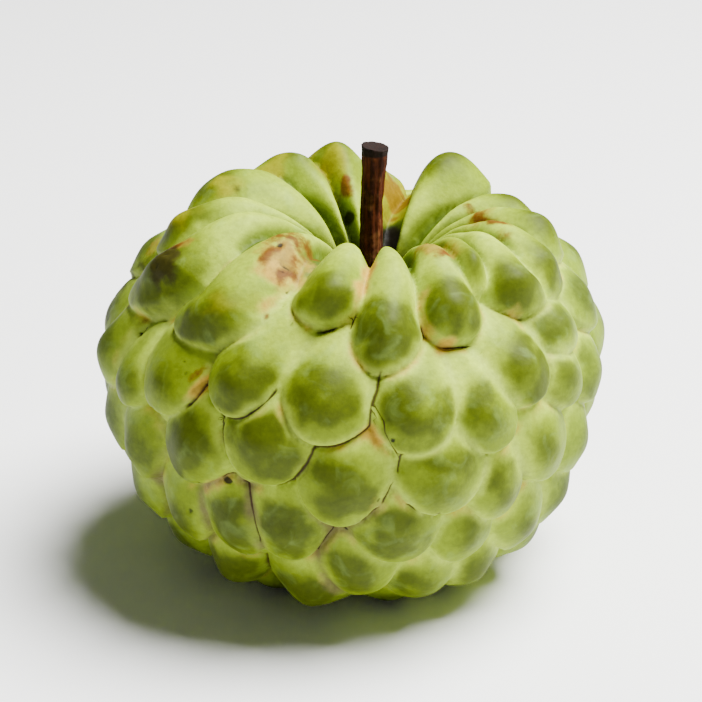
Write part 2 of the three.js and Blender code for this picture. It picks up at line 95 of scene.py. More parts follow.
def body_normal(longitude, drop):
    radius_above, height_above, _ = body_at(drop - NORMAL_STEP)
    radius_below, height_below, _ = body_at(drop + NORMAL_STEP)
    outward = height_above - height_below
    upward = radius_below - radius_above
    length = np.hypot(outward, upward)
    normal = [outward * np.sin(longitude), -outward * np.cos(longitude), upward + 0 * longitude]
    return np.stack(normal, -1) / length[..., None]


# Each carpel is one seed's share of the fruit: a ring of long fingers rolls out of the
# cavity over the shoulder, and egg-shaped ones lie in shingled tiers below, all fused.
# Fingers: longitude (degrees from the front), drop below the crest, half width, length
# below the knob, lean (degrees), rise, all in mm.
RIM_CARPELS = [
    (-12.3, 8.4, 6.1, 5.9, -14, 2.9), (5.5, 13.2, 5.9, 9.3, 0, 3.2), (24, 10.6, 6.3, 6.8, 8, 2.9),
    (34.5, 3.4, 3.5, 6.5, 0, 2.5), (48.5, 9.6, 6.4, 7, 24, 2.9), (65, 8.4, 6.4, 8, 0, 2.6),
    (85, 4.9, 6.6, 8.5, 0, 2.1), (111, 3.7, 6.8, 8.5, 0, 0.8), (142, -1.3, 6.9, 9.5, 0, 3.3),
    (174, -0.3, 3.9, 8.5, 0, 0.2), (-163, -2.3, 5.6, 8.5, 0, 3.1), (-137, -1.3, 6.6, 8.5, 0, 2.1),
    (-110, 3.5, 8.4, 8.5, 0, 2.2), (-86, 7.7, 6, 9.5, -16, 2.2), (-69, 13.4, 6.8, 12, -26, 3),
    (-41, 15.4, 8.8, 7.8, -28, 3.1),
]
# Front carpels: longitude, drop, half width, length above and below the crown, lean, rise.
FRONT_CARPELS = [
    (-27.5, 24.1, 6.6, 16.6, 8.5, -24, 3.4), (-7, 25.4, 7.9, 12.5, 9.1, -24, 2.9),
    (12.5, 26.6, 7.6, 13, 9, 4, 2.9), (30, 29.1, 6, 12, 8.8, 20, 2.4),
    (41.5, 23.1, 6.4, 12, 7.9, 18, 2.6), (58.5, 19.1, 6.2, 10, 6.6, 8, 2.4),
    (-49, 28.1, 7, 11, 8, 0, 2.6), (-78, 31.1, 6.4, 10.5, 9, -10, 3.2),
    (-64, 32.1, 5.4, 8, 7, 0, 2.1), (-37.5, 37.1, 6.9, 11, 9.8, -18, 2.6),
    (-20, 33.1, 8.2, 14, 9.7, -9, 2.7), (-1.5, 39.9, 7.7, 13, 10.2, -16, 2.7),
    (20.5, 39.6, 8.2, 12.5, 8.8, 0, 2.9), (35.5, 44.1, 6, 10, 8.6, 6, 2.3),
    (48.5, 38.6, 6.4, 11, 10, 24, 2.4), (55, 27.1, 5.8, 9, 8, 26, 2.4),
    (71.5, 30.1, 6.2, 9, 7.8, 0, 2.3), (66, 43.1, 6.2, 9, 8.8, 14, 2.3),
    (-30.5, 52.6, 6.2, 9.5, 8.3, 18, 2.1), (-16, 50.9, 6.6, 10.5, 8.6, 3, 2.3),
    (11, 49.6, 7.7, 11.5, 9.6, 4, 2.6), (28.5, 54.1, 6, 9, 7.8, 8, 2),
    (48, 56.1, 6.2, 9, 10, 26, 2.3), (-47, 54.1, 6, 9.5, 7.8, 18, 2.1),
    (-61, 44.1, 6.2, 9, 8.2, 6, 2.3), (-36.5, 65.6, 5.8, 9, 9.6, -12, 3.1),
    (2, 60.6, 6.6, 10, 10, 0, 2.8), (21.5, 65.6, 6.6, 9.5, 10.5, 6, 2.8),
    (-12.5, 68.1, 7.6, 10.5, 10.5, -4, 3.3), (37.5, 66.1, 6, 9, 9.5, 14, 2.8),
]
# Rings that close the rest: drop, number in a full ring, half width, above, below, rise.
TIERS = [
    (18.7, 14, 7.2, 11, 8, 2.3), (30.7, 17, 7.2, 11, 8.5, 2.3), (42.7, 19, 7, 11, 9, 2.3),
    (54.7, 18, 6.8, 10.5, 9, 2.2), (66.7, 16, 6.6, 10, 9, 2.1),
    (78.2, 13, 6.4, 9, 8.6, 2), (90.2, 9, 6.2, 8, 7.5, 1.9), (100.2, 4, 5.6, 6, 5.5, 1.8),
]
LAST_CARPEL_SIZE = 5.6
LAST_CARPEL_RISE = 2
FINGER_ROOT = 31
TIER_SEED = 7
TIER_TURN_JITTER = 0.1
TIER_DROP_JITTER = 2.4
TIER_LEAN_JITTER = 0.35
TIER_WIDTH_SHARE = (0.94, 0.12)
TIER_RISE_SHARE = (0.9, 0.2)
CLEAR_OF_FRONT = 0.8
CLEAR_OF_RIM = 0.92
KNOB_SHARE = 0.5
SETTLING_ROUNDS = 40
SETTLING_REACH = 22
SETTLING_STEP = 1.6
SETTLING_SIDE_SHARE = 0.93
SETTLING_LENGTH_SHARE = 0.62
SETTLING_DOWN_SHARE = 0.8
HIGHEST_SETTLED_DROP = 12.7
SETTLED_ABOVE_BASE = 5
TINY = 1e-6


def wrap_angle(angle):
    return (angle + math.pi) % (2 * math.pi) - math.pi


def seeded_draws(seed):
    """Park-Miller draws between 0 and 1."""
    state = seed
    while True:
        state = state * 16807 % 2147483647
        yield state / 2147483647


COLUMNS = ("finger", "longitude", "drop", "width", "above", "below", "lean", "rise")


def placed_carpels():
    """The rows above as they stand in the table of carpels, in radians."""
    rows = [(1, turn, drop, width, drop + FINGER_ROOT, below, lean, rise)
            for turn, drop, width, below, lean, rise in RIM_CARPELS]
    rows += [(0, *row) for row in FRONT_CARPELS]
    return [(finger, math.radians(turn), *sizes, math.radians(lean), rise)
            for finger, turn, *sizes, lean, rise in rows]


def is_free(longitude, drop, width, placed):
    radius = body_at(drop)[0]
    for finger, other_turn, other_drop, other_width, _, below, _, _ in placed:
        sideways = wrap_angle(longitude - other_turn) * radius
        room = CLEAR_OF_FRONT * (width + other_width)
        if finger:
            room = CLEAR_OF_RIM * (width + KNOB_SHARE * below)
        if math.hypot(sideways, drop - other_drop) < room:
            return False
    return True


def tier_carpels(placed):
    """Rings of carpels wherever the placed ones leave room."""
    draw = seeded_draws(TIER_SEED)
    rows = []
    for tier, (tier_drop, count, width, above, below, rise) in enumerate(TIERS):
        for k in range(count):
            turn = 2 * math.pi * (k + 0.5 * (tier % 2)) / count
            longitude = wrap_angle(turn + (next(draw) - 0.5) * TIER_TURN_JITTER)
            drop = tier_drop + (next(draw) - 0.5) * TIER_DROP_JITTER
            size = next(draw)
            lean = (next(draw) - 0.5) * TIER_LEAN_JITTER
            if is_free(longitude, drop, width, placed):
                own_width = width * (TIER_WIDTH_SHARE[0] + TIER_WIDTH_SHARE[1] * size)
                own_rise = rise * (TIER_RISE_SHARE[0] + TIER_RISE_SHARE[1] * size)
                rows.append((0, longitude, drop, own_width, above, below, lean, own_rise))
    return rows


def settle(carpels, free):
    """Moves the tiers' carpels apart until their spacing is even."""
    longitude, drop = carpels["longitude"], carpels["drop"]
    width, above, below = carpels["width"], carpels["above"], carpels["below"]
    for _ in range(SETTLING_ROUNDS):
        for i in free:
            radius = body_at(drop[i])[0]
            sideways = wrap_angle(longitude[i] - longitude) * radius
            down = drop[i] - drop
            lengths = np.where(down < 0, below[i] + above, above[i] + below)
            along = down / (SETTLING_LENGTH_SHARE * lengths)
            across = sideways / (SETTLING_SIDE_SHARE * (width[i] + width))
            closeness = np.hypot(across, along)
            near = (np.abs(sideways) <= SETTLING_REACH) & (np.abs(down) <= SETTLING_REACH)
            near &= (closeness < 1) & (np.arange(len(drop)) != i)
            push = np.where(near, (1 - closeness) * SETTLING_STEP, 0)
            push /= np.hypot(sideways, down) + TINY
            longitude[i] = wrap_angle(longitude[i] + (push * sideways).sum() / radius)
            lower = drop[i] + SETTLING_DOWN_SHARE * (push * down).sum()
            drop[i] = np.clip(lower, HIGHEST_SETTLED_DROP, DROP_END - SETTLED_ABOVE_BASE)


def all_carpels():
    placed = placed_carpels()
    free = tier_carpels(placed)
    size = LAST_CARPEL_SIZE
    last = (0, 0.0, DROP_END - 0.01, size, size, size, 0.0, LAST_CARPEL_RISE)
    table = np.array(placed + free + [last], float)
    carpels = {name: table[:, j].copy() for j, name in enumerate(COLUMNS)}
    settle(carpels, range(len(placed), len(placed) + len(free)))
    turn, drop = carpels["longitude"], carpels["drop"]
    carpels["finger"] = carpels["finger"] > 0
    carpels["centre"] = body_point(turn, drop)
    carpels["normal"] = body_normal(turn, drop)
    carpels["side"] = np.stack([np.cos(turn), np.sin(turn), 0 * turn], -1)
    down = np.cross(carpels["side"], carpels["normal"])
    carpels["down"] = down / np.linalg.norm(down, axis=1)[:, None]
    carpels["radius"] = body_at(drop)[0]
    return carpels


CARPELS = all_carpels()
CARPEL_COUNT = len(CARPELS["drop"])

# A carpel swells into a rounded dome with its crown in the lower half, and its lower lip
# stands over the next one. Where two meet there is a groove, sharp under a lip.
SIDE_POWER = 2.25
END_POWER = 2
FINGER_END_POWER = 8
FINGER_FULL_SHARE = 0.85
NARROWEST_FINGER = 0.05
FINGER_EDGE_DROP = 1.0
FINGER_FLANK = 5.0
FINGER_FLANK_START = 9
FINGER_FLANK_SPAN = 12
DEEPEST_EDGE = 2.2
FINGER_JOIN_LIP = 0.75
FINGER_LIP = 1.2
FINGER_LIP_LENGTH = 14
FINGER_ROOT_RISE = 0.6
CARPEL_NARROWING = 0.34
CARPEL_NARROWING_POWER = 1.6
TIP_NARROWING = 0.14
CARPEL_OVERLAP = 1.07
CARPEL_LIP = 1.7
CARPEL_TUCK = 1.3
LIP_REACH = 1.2
FARTHEST_REACH = 3
DOME_SHARE = 0.62
CROWN_SHARE = 0.55
CROWN_WIDTH = 0.6
CROWN_STRETCH = 1.15
CROWN_PLACE = 0.2
EDGE_DROP_SIDE = 0.6
EDGE_DROP_LIP = 2.0
EDGE_DROP_START = 0.8
EDGE_DROP_SPAN = 0.45
LIP_DROP_RATE = 1.2
TIP_DROP_RATE = 2
EDGE_END = 6
NO_SWELLING = -9.0
VALLEY_DEPTH = 2.2
CAVITY_FADE_START = 3
CAVITY_FADE_LENGTH = 13
SHARP_JOIN = 0.25
SOFT_JOIN = 1.1
VALLEY = -1
# How far off its own plane a carpel goes on, and where it is looked for, all in mm.
PLANE_REACH = 14
OFF_CARPEL = 99
SEARCH_MARGIN = 14
SEARCH_ASIDE = 26
BASE_REACH = 22
CAVITY_REACH = 6
# Fingers swing round the cavity as they go in: longitude, half width and swing in degrees.
SWINGS = [(72, 45, 15), (-130, 25, -14)]
SWING_START = 10
SWING_SPAN = 24
# Hollows where neighbours never closed up: longitude, drop, half width, half length, depth.
DENTS = [(167, -1, 3.6, 12, 4.5), (112, 0, 9, 12, 1), (-27, 76, 2.6, 6, 3.5)]


def smoothstep(value):
    t = np.clip(value, 0, 1)
    return t * t * (3 - 2 * t)


def fade(values, start, span):
    """Rises smoothly from 0 at the start to 1 one span past it."""
    return smoothstep((values - start) / span)


def root_swing(longitude, drop):
    """Turn of the fingers' roots round the cavity at a place."""
    swing = 0
    for centre, width, most in SWINGS:
        away = wrap_angle(longitude - math.radians(centre)) / math.radians(width)
        swing += math.radians(most) * np.exp(-away ** 2)
    return swing * fade(-drop, -SWING_START, SWING_SPAN)


def place_on(ids, longitude, drop, point):
    """Distances across and along the given carpels, their crowns at the origin."""
    finger, lean = CARPELS["finger"][ids], CARPELS["lean"][ids]
    along_finger = drop - CARPELS["drop"][ids]
    bend = np.maximum(along_finger, 0) * np.tan(lean)
    turn = wrap_angle(longitude - root_swing(longitude, drop) - CARPELS["longitude"][ids])
    across_finger = turn * CARPELS["radius"][ids] - bend
    offset = point - CARPELS["centre"][ids]
    lifted = (offset * CARPELS["normal"][ids]).sum(-1)
    x = (offset * CARPELS["side"][ids]).sum(-1)
    y = (offset * CARPELS["down"][ids]).sum(-1)
    cosine, sine = np.cos(lean), np.sin(lean)
    far = np.abs(lifted) > PLANE_REACH
    across = np.where(finger, across_finger, np.where(far, OFF_CARPEL, x * cosine - y * sine))
    along = np.where(finger, along_finger, np.where(far, 0, x * sine + y * cosine))
    return across, along


def swelling(ids, across, along, radius):
    """Height of the given carpels at places on them, where the body has that radius."""
    finger = CARPELS["finger"][ids]
    width, rise = CARPELS["width"][ids], CARPELS["rise"][ids]
    up = along < 0
    reach = np.where(up, -along / CARPELS["above"][ids], along / CARPELS["below"][ids])
    finger_lip = FINGER_LIP * np.clip(1 + along / FINGER_LIP_LENGTH, 0, 1)
    carpel_lip = np.where(up, -CARPEL_TUCK, CARPEL_LIP) * np.clip(reach, 0, LIP_REACH)
    narrowed = np.clip(radius / CARPELS["radius"][ids], 0, 1)
    finger_share = np.clip(narrowed / FINGER_FULL_SHARE, NARROWEST_FINGER, 1)
    carpel_share = 1 - CARPEL_NARROWING * np.clip(reach, 0, 1) ** CARPEL_NARROWING_POWER
    tip_share = 1 - TIP_NARROWING * np.clip(reach, 0, 1) ** 2
    share = np.where(up, np.where(finger, finger_share, carpel_share), tip_share)
    power = np.where(up, np.where(finger, FINGER_END_POWER, END_POWER), SIDE_POWER)
    edge = (np.abs(across) / (CARPEL_OVERLAP * width * share)) ** SIDE_POWER
    edge += np.minimum(reach, FARTHEST_REACH) ** power
    crown_across = across / (CROWN_WIDTH * width)
    crown_along = along - CROWN_PLACE * CARPELS["below"][ids]
    crown_along /= CROWN_WIDTH * CROWN_STRETCH * width
    crown = CROWN_SHARE * rise * np.exp(-crown_across ** 2 - crown_along ** 2)
    root = FINGER_ROOT_RISE + (1 - FINGER_ROOT_RISE) * narrowed
    side_flank = fade(-along, -FINGER_FLANK_START, FINGER_FLANK_SPAN) * finger
    flank = DOME_SHARE * rise
    flank += (FINGER_FLANK * root - flank) * side_flank
    rise = DOME_SHARE * rise * np.where(up & finger, root, 1)
    lip_drop = (EDGE_DROP_LIP - EDGE_DROP_SIDE) * smoothstep(LIP_DROP_RATE * reach)
    tip_drop = -EDGE_DROP_SIDE * smoothstep(TIP_DROP_RATE * reach)
    edge_drop = EDGE_DROP_SIDE + np.where(up, tip_drop, lip_drop)
    edge_drop = np.where(up & finger, FINGER_EDGE_DROP, edge_drop)
    fall = edge_drop * fade(edge, EDGE_DROP_START, EDGE_DROP_SPAN)
    height = rise - flank * np.minimum(edge, DEEPEST_EDGE) + crown - fall
    height += np.where(finger, finger_lip, carpel_lip)
    return np.where(edge > EDGE_END, NO_SWELLING, height)


def dented(longitude, drop):
    """Depth of the hollows pressed into the body."""
    depth = 0
    for turn, centre, width, length, deepest in DENTS:
        sideways = wrap_angle(longitude - math.radians(turn)) * body_at(centre)[0] / width
        depth += deepest * np.exp(-sideways ** 2 - ((drop - centre) / length) ** 2)
    return depth


def height_of(ids, longitude, drop):
    """Height of the given carpels, or of the valley's floor, over the body."""
    across, along = place_on(ids, longitude, drop, body_point(longitude, drop))
    height = swelling(ids, across, along, body_at(drop)[0])
    return np.where(np.equal(ids, VALLEY), -VALLEY_DEPTH, height)


def two_highest(longitude, drop):
    """The two highest things at each place, either of which may be the valley's floor."""
    count = len(drop)
    top, following = np.full(count, VALLEY), np.full(count, VALLEY)
    top_height, next_height = np.full(count, -VALLEY_DEPTH), np.full(count, NO_SWELLING)
    radius = body_at(drop)[0]
    for i in range(CARPEL_COUNT):
        sideways = np.abs(wrap_angle(longitude - CARPELS["longitude"][i]))
        down = drop - CARPELS["drop"][i]
        near = down > -CARPELS["above"][i] - SEARCH_MARGIN
        near &= down < CARPELS["below"][i] + SEARCH_MARGIN
        beside = sideways * radius < SEARCH_ASIDE
        near &= beside | (drop > DROP_END - BASE_REACH) | (drop < CAVITY_REACH)
        where = np.nonzero(near)[0]
        height = height_of(np.full(len(where), i), longitude[where], drop[where])
        above_top = height > top_height[where]
        raised, lower = where[above_top], where[~above_top]
        next_height[raised], following[raised] = top_height[raised], top[raised]
        top_height[raised], top[raised] = height[above_top], i
        height = height[~above_top]
        above_next = height > next_height[lower]
        next_height[lower[above_next]] = height[above_next]
        following[lower[above_next]] = i
    return top, following, top_height, next_height


# The rind is one unbroken skin. It is laid out as an even ball of small triangles, about
# half a millimetre along each side, whose points are drawn onto the grooves' lines.
GRID_STEPS = 99
GROOVE_REACH = 0.43
WIDEST_GROOVE = 6
CALM_BASE = 4
POLE_RADIUS = 0.05


def even_ball(steps):
    """Directions and triangles of an icosahedron cut evenly into steps along each side."""
    golden = (1 + math.sqrt(5)) / 2
    corners = np.array([
        (-1, golden, 0), (1, golden, 0), (-1, -golden, 0), (1, -golden, 0),
        (0, -1, golden), (0, 1, golden), (0, -1, -golden), (0, 1, -golden),
        (golden, 0, -1), (golden, 0, 1), (-golden, 0, -1), (-golden, 0, 1),
    ])
    faces = [
        (0, 11, 5), (0, 5, 1), (0, 1, 7), (0, 7, 10), (0, 10, 11), (1, 5, 9), (5, 11, 4),
        (11, 10, 2), (10, 7, 6), (7, 1, 8), (3, 9, 4), (3, 4, 2), (3, 2, 6), (3, 6, 8),
        (3, 8, 9), (4, 9, 5), (2, 4, 11), (6, 2, 10), (8, 6, 7), (9, 8, 1),
    ]
    i, j = np.indices((steps + 1, steps + 1)).reshape(2, -1)
    i, j = i[i + j <= steps], j[i + j <= steps]
    here = np.arange(len(i))
    beside, above = here + 1, here + steps + 1 - i
    upright = np.stack([here, above, beside], -1)[i + j < steps]
    hanging = np.stack([above, above + 1, beside], -1)[i + j < steps - 1]
    face_triangles = np.concatenate([upright, hanging])
    points, triangles = [], []
    for k, (a, b, c) in enumerate(faces):
        side, other = corners[b] - corners[a], corners[c] - corners[a]
        points.append(corners[a] + i[:, None] / steps * side + j[:, None] / steps * other)
        triangles.append(face_triangles + k * len(i))
    points = np.concatenate(points)
    points /= np.linalg.norm(points, axis=1)[:, None]
    keys = np.round(points * 1e5).astype(np.int64)
    _, first, merged = np.unique(keys, axis=0, return_index=True, return_inverse=True)
    return points[first], merged.ravel()[np.concatenate(triangles)]


def groove_distance(top, following, longitude, drop):
    """Distance in mm to the groove between the two highest, and the way to it."""
    radius = np.maximum(body_at(drop)[0], 1)
    step = 0.1

    def gap(turn, down):
        return height_of(top, turn, down) - height_of(following, turn, down)

    here = gap(longitude, drop)
    slope_side = (gap(longitude + step / radius, drop) - here) / step
    slope_down = (gap(longitude, drop + step) - here) / step
    steepness = np.maximum(slope_side ** 2 + slope_down ** 2, TINY)
    distance = here / np.sqrt(steepness)
    return distance, here * slope_side / steepness / radius, here * slope_down / steepness


directions, triangles = even_ball(GRID_STEPS)
polar = np.arccos(np.clip(directions[:, 2], -1, 1)) / math.pi
longitude = np.arctan2(directions[:, 0], -directions[:, 1])
drop = DROP_START + (DROP_END - DROP_START) * polar
stretch = body_at(drop)[0] / np.maximum(np.sin(polar * math.pi), POLE_RADIUS)
spacing = math.atan(2) / GRID_STEPS * np.minimum(stretch, (DROP_END - DROP_START) / math.pi)
top, following, _, _ = two_highest(longitude, drop)
distance, step_side, step_down = groove_distance(top, following, longitude, drop)
movable = (distance < GROOVE_REACH * spacing) & (drop > DROP_START + CAVITY_FADE_LENGTH)
movable &= drop < DROP_END - CALM_BASE
longitude = np.where(movable, longitude - step_side, longitude)
drop = np.where(movable, drop - step_down, drop)
top, following, top_height, next_height = two_highest(longitude, drop)
groove = np.clip(groove_distance(top, following, longitude, drop)[0], 0, WIDEST_GROOVE)

# Where the rind is marked. Each patch: longitude, drop, half width, half length (mm), then
# strength where it isn't 1, and slant where it isn't 0 (degrees, + leans down to the right).
# Deep green blotches on the crowns of the front carpels.
BLOTCHES = [
    (-12.2, 10.2, 2.6, 2.8), (4.5, 14.3, 4.4, 4.4), (24.6, 10, 4.4, 4.6),
    (45, 10.9, 4.6, 5, 1, -20), (34.5, 2.5, 2.4, 3, 0.5), (-40, 15.7, 3.2, 2, 0.75, -30),
    (-44.6, 21.2, 3.6, 3.6), (-59.1, 13.8, 3, 7, 0.6, -30), (-69, 20, 4, 6, 0.9, -20),
    (-71, 12, 4, 5, 0.6, -40), (-82, 6, 3, 6, 0.6, -40), (-61.1, 22.9, 2.8, 3.2, 0.9),
    (-26, 25.6, 3.4, 3.4, 1.1), (-30.5, 20.3, 2, 2.6, 0.6, -20), (-7.1, 22.5, 4, 2.6),
    (-11.5, 26, 2.4, 3, 0.85), (-4, 27, 2.2, 2.8, 0.95), (-7.5, 29, 3.6, 1.6, 0.85),
    (9.7, 27.1, 2.4, 4.4), (20, 28.4, 2.6, 4, 0.85, -20), (14, 30.6, 4, 1.6, 0.8),
    (18.6, 36, 4.2, 3, 0.9, -10), (24.4, 37.6, 2, 3, 0.8), (30.8, 21.2, 2.6, 2.6, 0.8),
    (27, 25.6, 2.6, 4, 0.9), (29.5, 31.2, 2.4, 2.6, 0.6), (41.4, 21.4, 2.6, 4, 1, -25),
    (45.8, 26.3, 1.8, 4.6, 0.95, -25), (34.4, 41.7, 2.6, 3.2, 0.85), (50.4, 32, 3, 4, 0.55),
    (52.4, 19.9, 2.6, 3, 0.8), (67.6, 26.5, 2.6, 4, 0.6), (63.8, 11.5, 4, 4, 0.7),
    (66.8, 34.8, 2.6, 3.4, 0.7), (-19.9, 32.9, 4.2, 3.4), (-16, 37.6, 3.6, 2.6, 0.8),
    (-39, 34.8, 2.6, 5, 1, 20), (-41.4, 42.2, 3, 3, 0.8), (-30.9, 49.4, 3.4, 3),
    (-29.1, 55.4, 3, 2.6, 0.8), (-15.1, 48.4, 3.6, 3.6), (-13.4, 54, 3, 2.6, 0.7),
    (-3.8, 37.9, 3.2, 2.6, 0.9), (-1.6, 43, 3.8, 2.6, 0.9), (9.6, 45.8, 2.8, 3),
    (9.7, 53.8, 4, 2.4, 0.9), (28.9, 50.7, 2, 3, 0.7, -20), (42, 47.5, 2.6, 2.4, 0.5),
    (-0.4, 57.9, 3.6, 3.6, 0.7), (-63.3, 34.1, 2.6, 3.4, 0.6), (-77.6, 30.6, 2, 3),
    (-56.5, 45.8, 3, 3.2, 0.6), (-35.7, 66.3, 4, 3.6, 0.9), (-9.1, 66.6, 5, 3.6, 0.9),
    (13.4, 66, 4, 3.4, 0.8), (34.3, 65.5, 4, 3.4, 0.8),
]
# Bare cream or pinkish places where the wax never formed, mostly tucked under a lip.
BARE_PATCHES = [
    (-1.2, 2, 1, 3, 1.5, -8), (-3.4, 7.6, 1.1, 3.4, 1.5, -12), (-4.6, 11, 1.2, 1.8, 1.3),
    (15.8, 9.6, 1.1, 2.6, 1.4), (16.6, 13.6, 1.4, 2.6, 1.4), (22, 17, 3.4, 1.2, 1.2, 30),
    (34.1, 13.1, 1.2, 3.8, 0.8, 42), (46, 16.2, 1.4, 2.6, 0.8, 20), (36, 19.6, 2.4, 1.2, 0.7),
    (40.8, 29.3, 1.4, 3.4, 0.9, 10), (-73, 29.4, 1.3, 5), (-42, 28.4, 1, 4.2, 1, -28),
    (-34.4, 45.2, 2.6, 1.3, 0.9), (-42.4, 51, 0.9, 3.2, 0.8), (-31.6, 42.6, 0.8, 2.4, 0.7),
    (3.4, 33.6, 1.8, 3, 1.4, -10), (4.6, 43.6, 1, 2.6, 0.6, -20), (-9.6, 57.4, 1, 3, 0.6, -15),
    (-38.4, 28.8, 1.4, 3.8, 1.4, -40), (-32.4, 7.6, 3.6, 5.6, 1.3), (-33.4, 2.6, 3.4, 3, 1.2),
    (-5, 13.6, 2.4, 0.8, 0.6, -20),
]
# Corky scars: orange-brown, tan, and dark olive.
RUSSET_SCARS = [
    (-38.3, -0.6, 4.6, 2, 0.9, 12), (-36, -3, 4, 2.2, 0.8, 20), (-33, -2, 3, 2, 0.9),
    (-42.8, 1.4, 1.6, 1.8, 0.7), (-37.6, 5, 1.4, 3, 1, 10), (-30.2, 5.6, 1.3, 3.6),
    (-30.8, 2, 1, 2, 0.8), (76, -1.6, 2, 5.4, 1.2, -54), (87, -4.4, 1.6, 3, 0.9, -58),
    (121.9, -5.5, 1.8, 3, 0.8), (110, -5.6, 2.4, 1, 0.7), (92, -5, 2, 1.2, 0.8),
    (-162.2, -8.4, 1.2, 2.2, 1.2), (28.6, 1.2, 2.6, 1.2, 0.9, 30), (30, -3.4, 1.2, 1.2, 0.8),
    (-71, 11.4, 2, 1, 1.1, 40), (-40.6, 26.6, 0.9, 2, 0.8, -25), (-28.5, 14.5, 0.7, 0.9, 0.8),
]
TAN_SCARS = [
    (27.4, -3.4, 2.8, 2.8, 1.1), (28.2, 0.4, 2.8, 2.2), (-35, 3.2, 4.6, 4),
    (-70.6, 11, 3, 1.6, 1.1, 30), (84, -5, 6, 3, 0.8, -20), (-96.4, 17, 2.4, 3, 0.7),
    (-38, 28.6, 0.8, 2.8, 1.2, -40), (-153, -2.7, 2, 1.6, 0.6),
]
OLIVE_SCARS = [
    (-95, 21.3, 3, 4.4, 0.7), (-69.3, 14.6, 3, 3.4, 1.3), (-70, 12.6, 2.6, 2, 1.1),
    (-66.8, 17.2, 2, 2.4), (-97.2, 27, 2.4, 4, 0.75), (-94, 31.6, 1.6, 3, 0.7),
    (-97.7, 0.9, 4, 1.1, 0.6), (-70.7, 24.6, 1, 2.2, 0.5),
]
# Where the rind has turned yellow.
YELLOW_PATCHES = [
    (167.4, -4.6, 3.8, 7, 2.4), (-131, 0.2, 4, 2.4), (-157, -3.4, 3.4, 5),
    (-103, 2.6, 4, 2.4, 0.9), (-88, 9.4, 4, 3.6), (-40, 15, 4.4, 3, 0.5),
    (-97.7, 1.6, 3.6, 1.8, 0.5), (-33, 13, 3, 3, 0.4), (-45, 3.6, 3, 3, 0.5), (29, -1, 5, 5, 0.5),
]
# Pinholes and specks.
SPECKS = [
    (-21.3, 2.7, 0.45, 0.4, 1.3), (-38.6, 2.2, 0.7, 0.8, 1.4), (-32, 5.2, 1.1, 0.45, 1.1),
    (-31, 6.2, 0.9, 0.4, 0.9), (-27.4, 9.3, 0.4, 0.7, 1.2), (-26.5, 12.1, 0.4, 0.4, 1.1),
    (-21, 15, 0.5, 0.7), (-31.8, 32.4, 1.1, 0.5, 1.3, -30), (-31, 31.2, 0.4, 1, 1.1, 10),
    (-30.6, 33.8, 0.4, 0.9, 1.3, -10), (-69.5, 13.4, 1.2, 0.4, 0.9, 30),
    (-68.6, 15.4, 0.5, 1.1, 0.9, -20), (-70.4, 12, 0.9, 0.4, 1, 20), (-67.6, 16.8, 0.9, 0.4, 0.8),
    (-30.6, 45.3, 1, 0.6, 1.6), (-36.4, 45.8, 0.7, 0.7), (-42.4, 53.6, 0.6, 0.6, 1.2),
    (7.9, 32.9, 0.45, 0.6, 1.5), (5.8, 44.1, 0.5, 0.6, 1.2), (-1.4, 52.3, 1, 0.3, 1.4),
    (36.4, 18.8, 0.35, 0.35, 1.1), (31.7, 19.9, 0.6, 0.3, 1, 30), (15.4, 9.1, 0.35, 0.5, 0.9),
    (41.2, 29.6, 0.5, 0.3, 0.9), (-44.9, 25.9, 0.5, 0.3), (-43.3, 27.6, 0.6, 0.4, 1.1),
    (-45.2, 27, 0.4, 0.3), (-50.1, 35.3, 0.6, 0.35, 1.3, -20), (-69.7, 27.3, 0.6, 0.4, 1.3),
    (-70.7, 5.8, 0.4, 0.4, 0.7), (59.8, 6.5, 0.4, 0.4, 0.8), (-159.6, -14, 0.6, 1.6, 1.5),
    (22.4, -3.6, 0.7, 0.3, 1, 20), (26.4, -2.2, 0.4, 0.3, 0.9), (28.4, -0.2, 0.8, 0.3, 0.9, 30),
    (24.8, 0.2, 0.5, 0.3, 0.8), (5.9, 22.4, 0.8, 0.25, 1, 20), (1.6, 21.7, 0.5, 0.3, 0.8),
    (9.6, 20.9, 0.6, 0.25, 0.8, -20), (-27, 74, 2.4, 3.4, 1.2), (-8, 25.6, 0.6, 0.5, 0.6),
    (-15, 50.2, 0.5, 0.4, 0.7), (12.6, 29.4, 0.3, 0.3, 0.6),
]
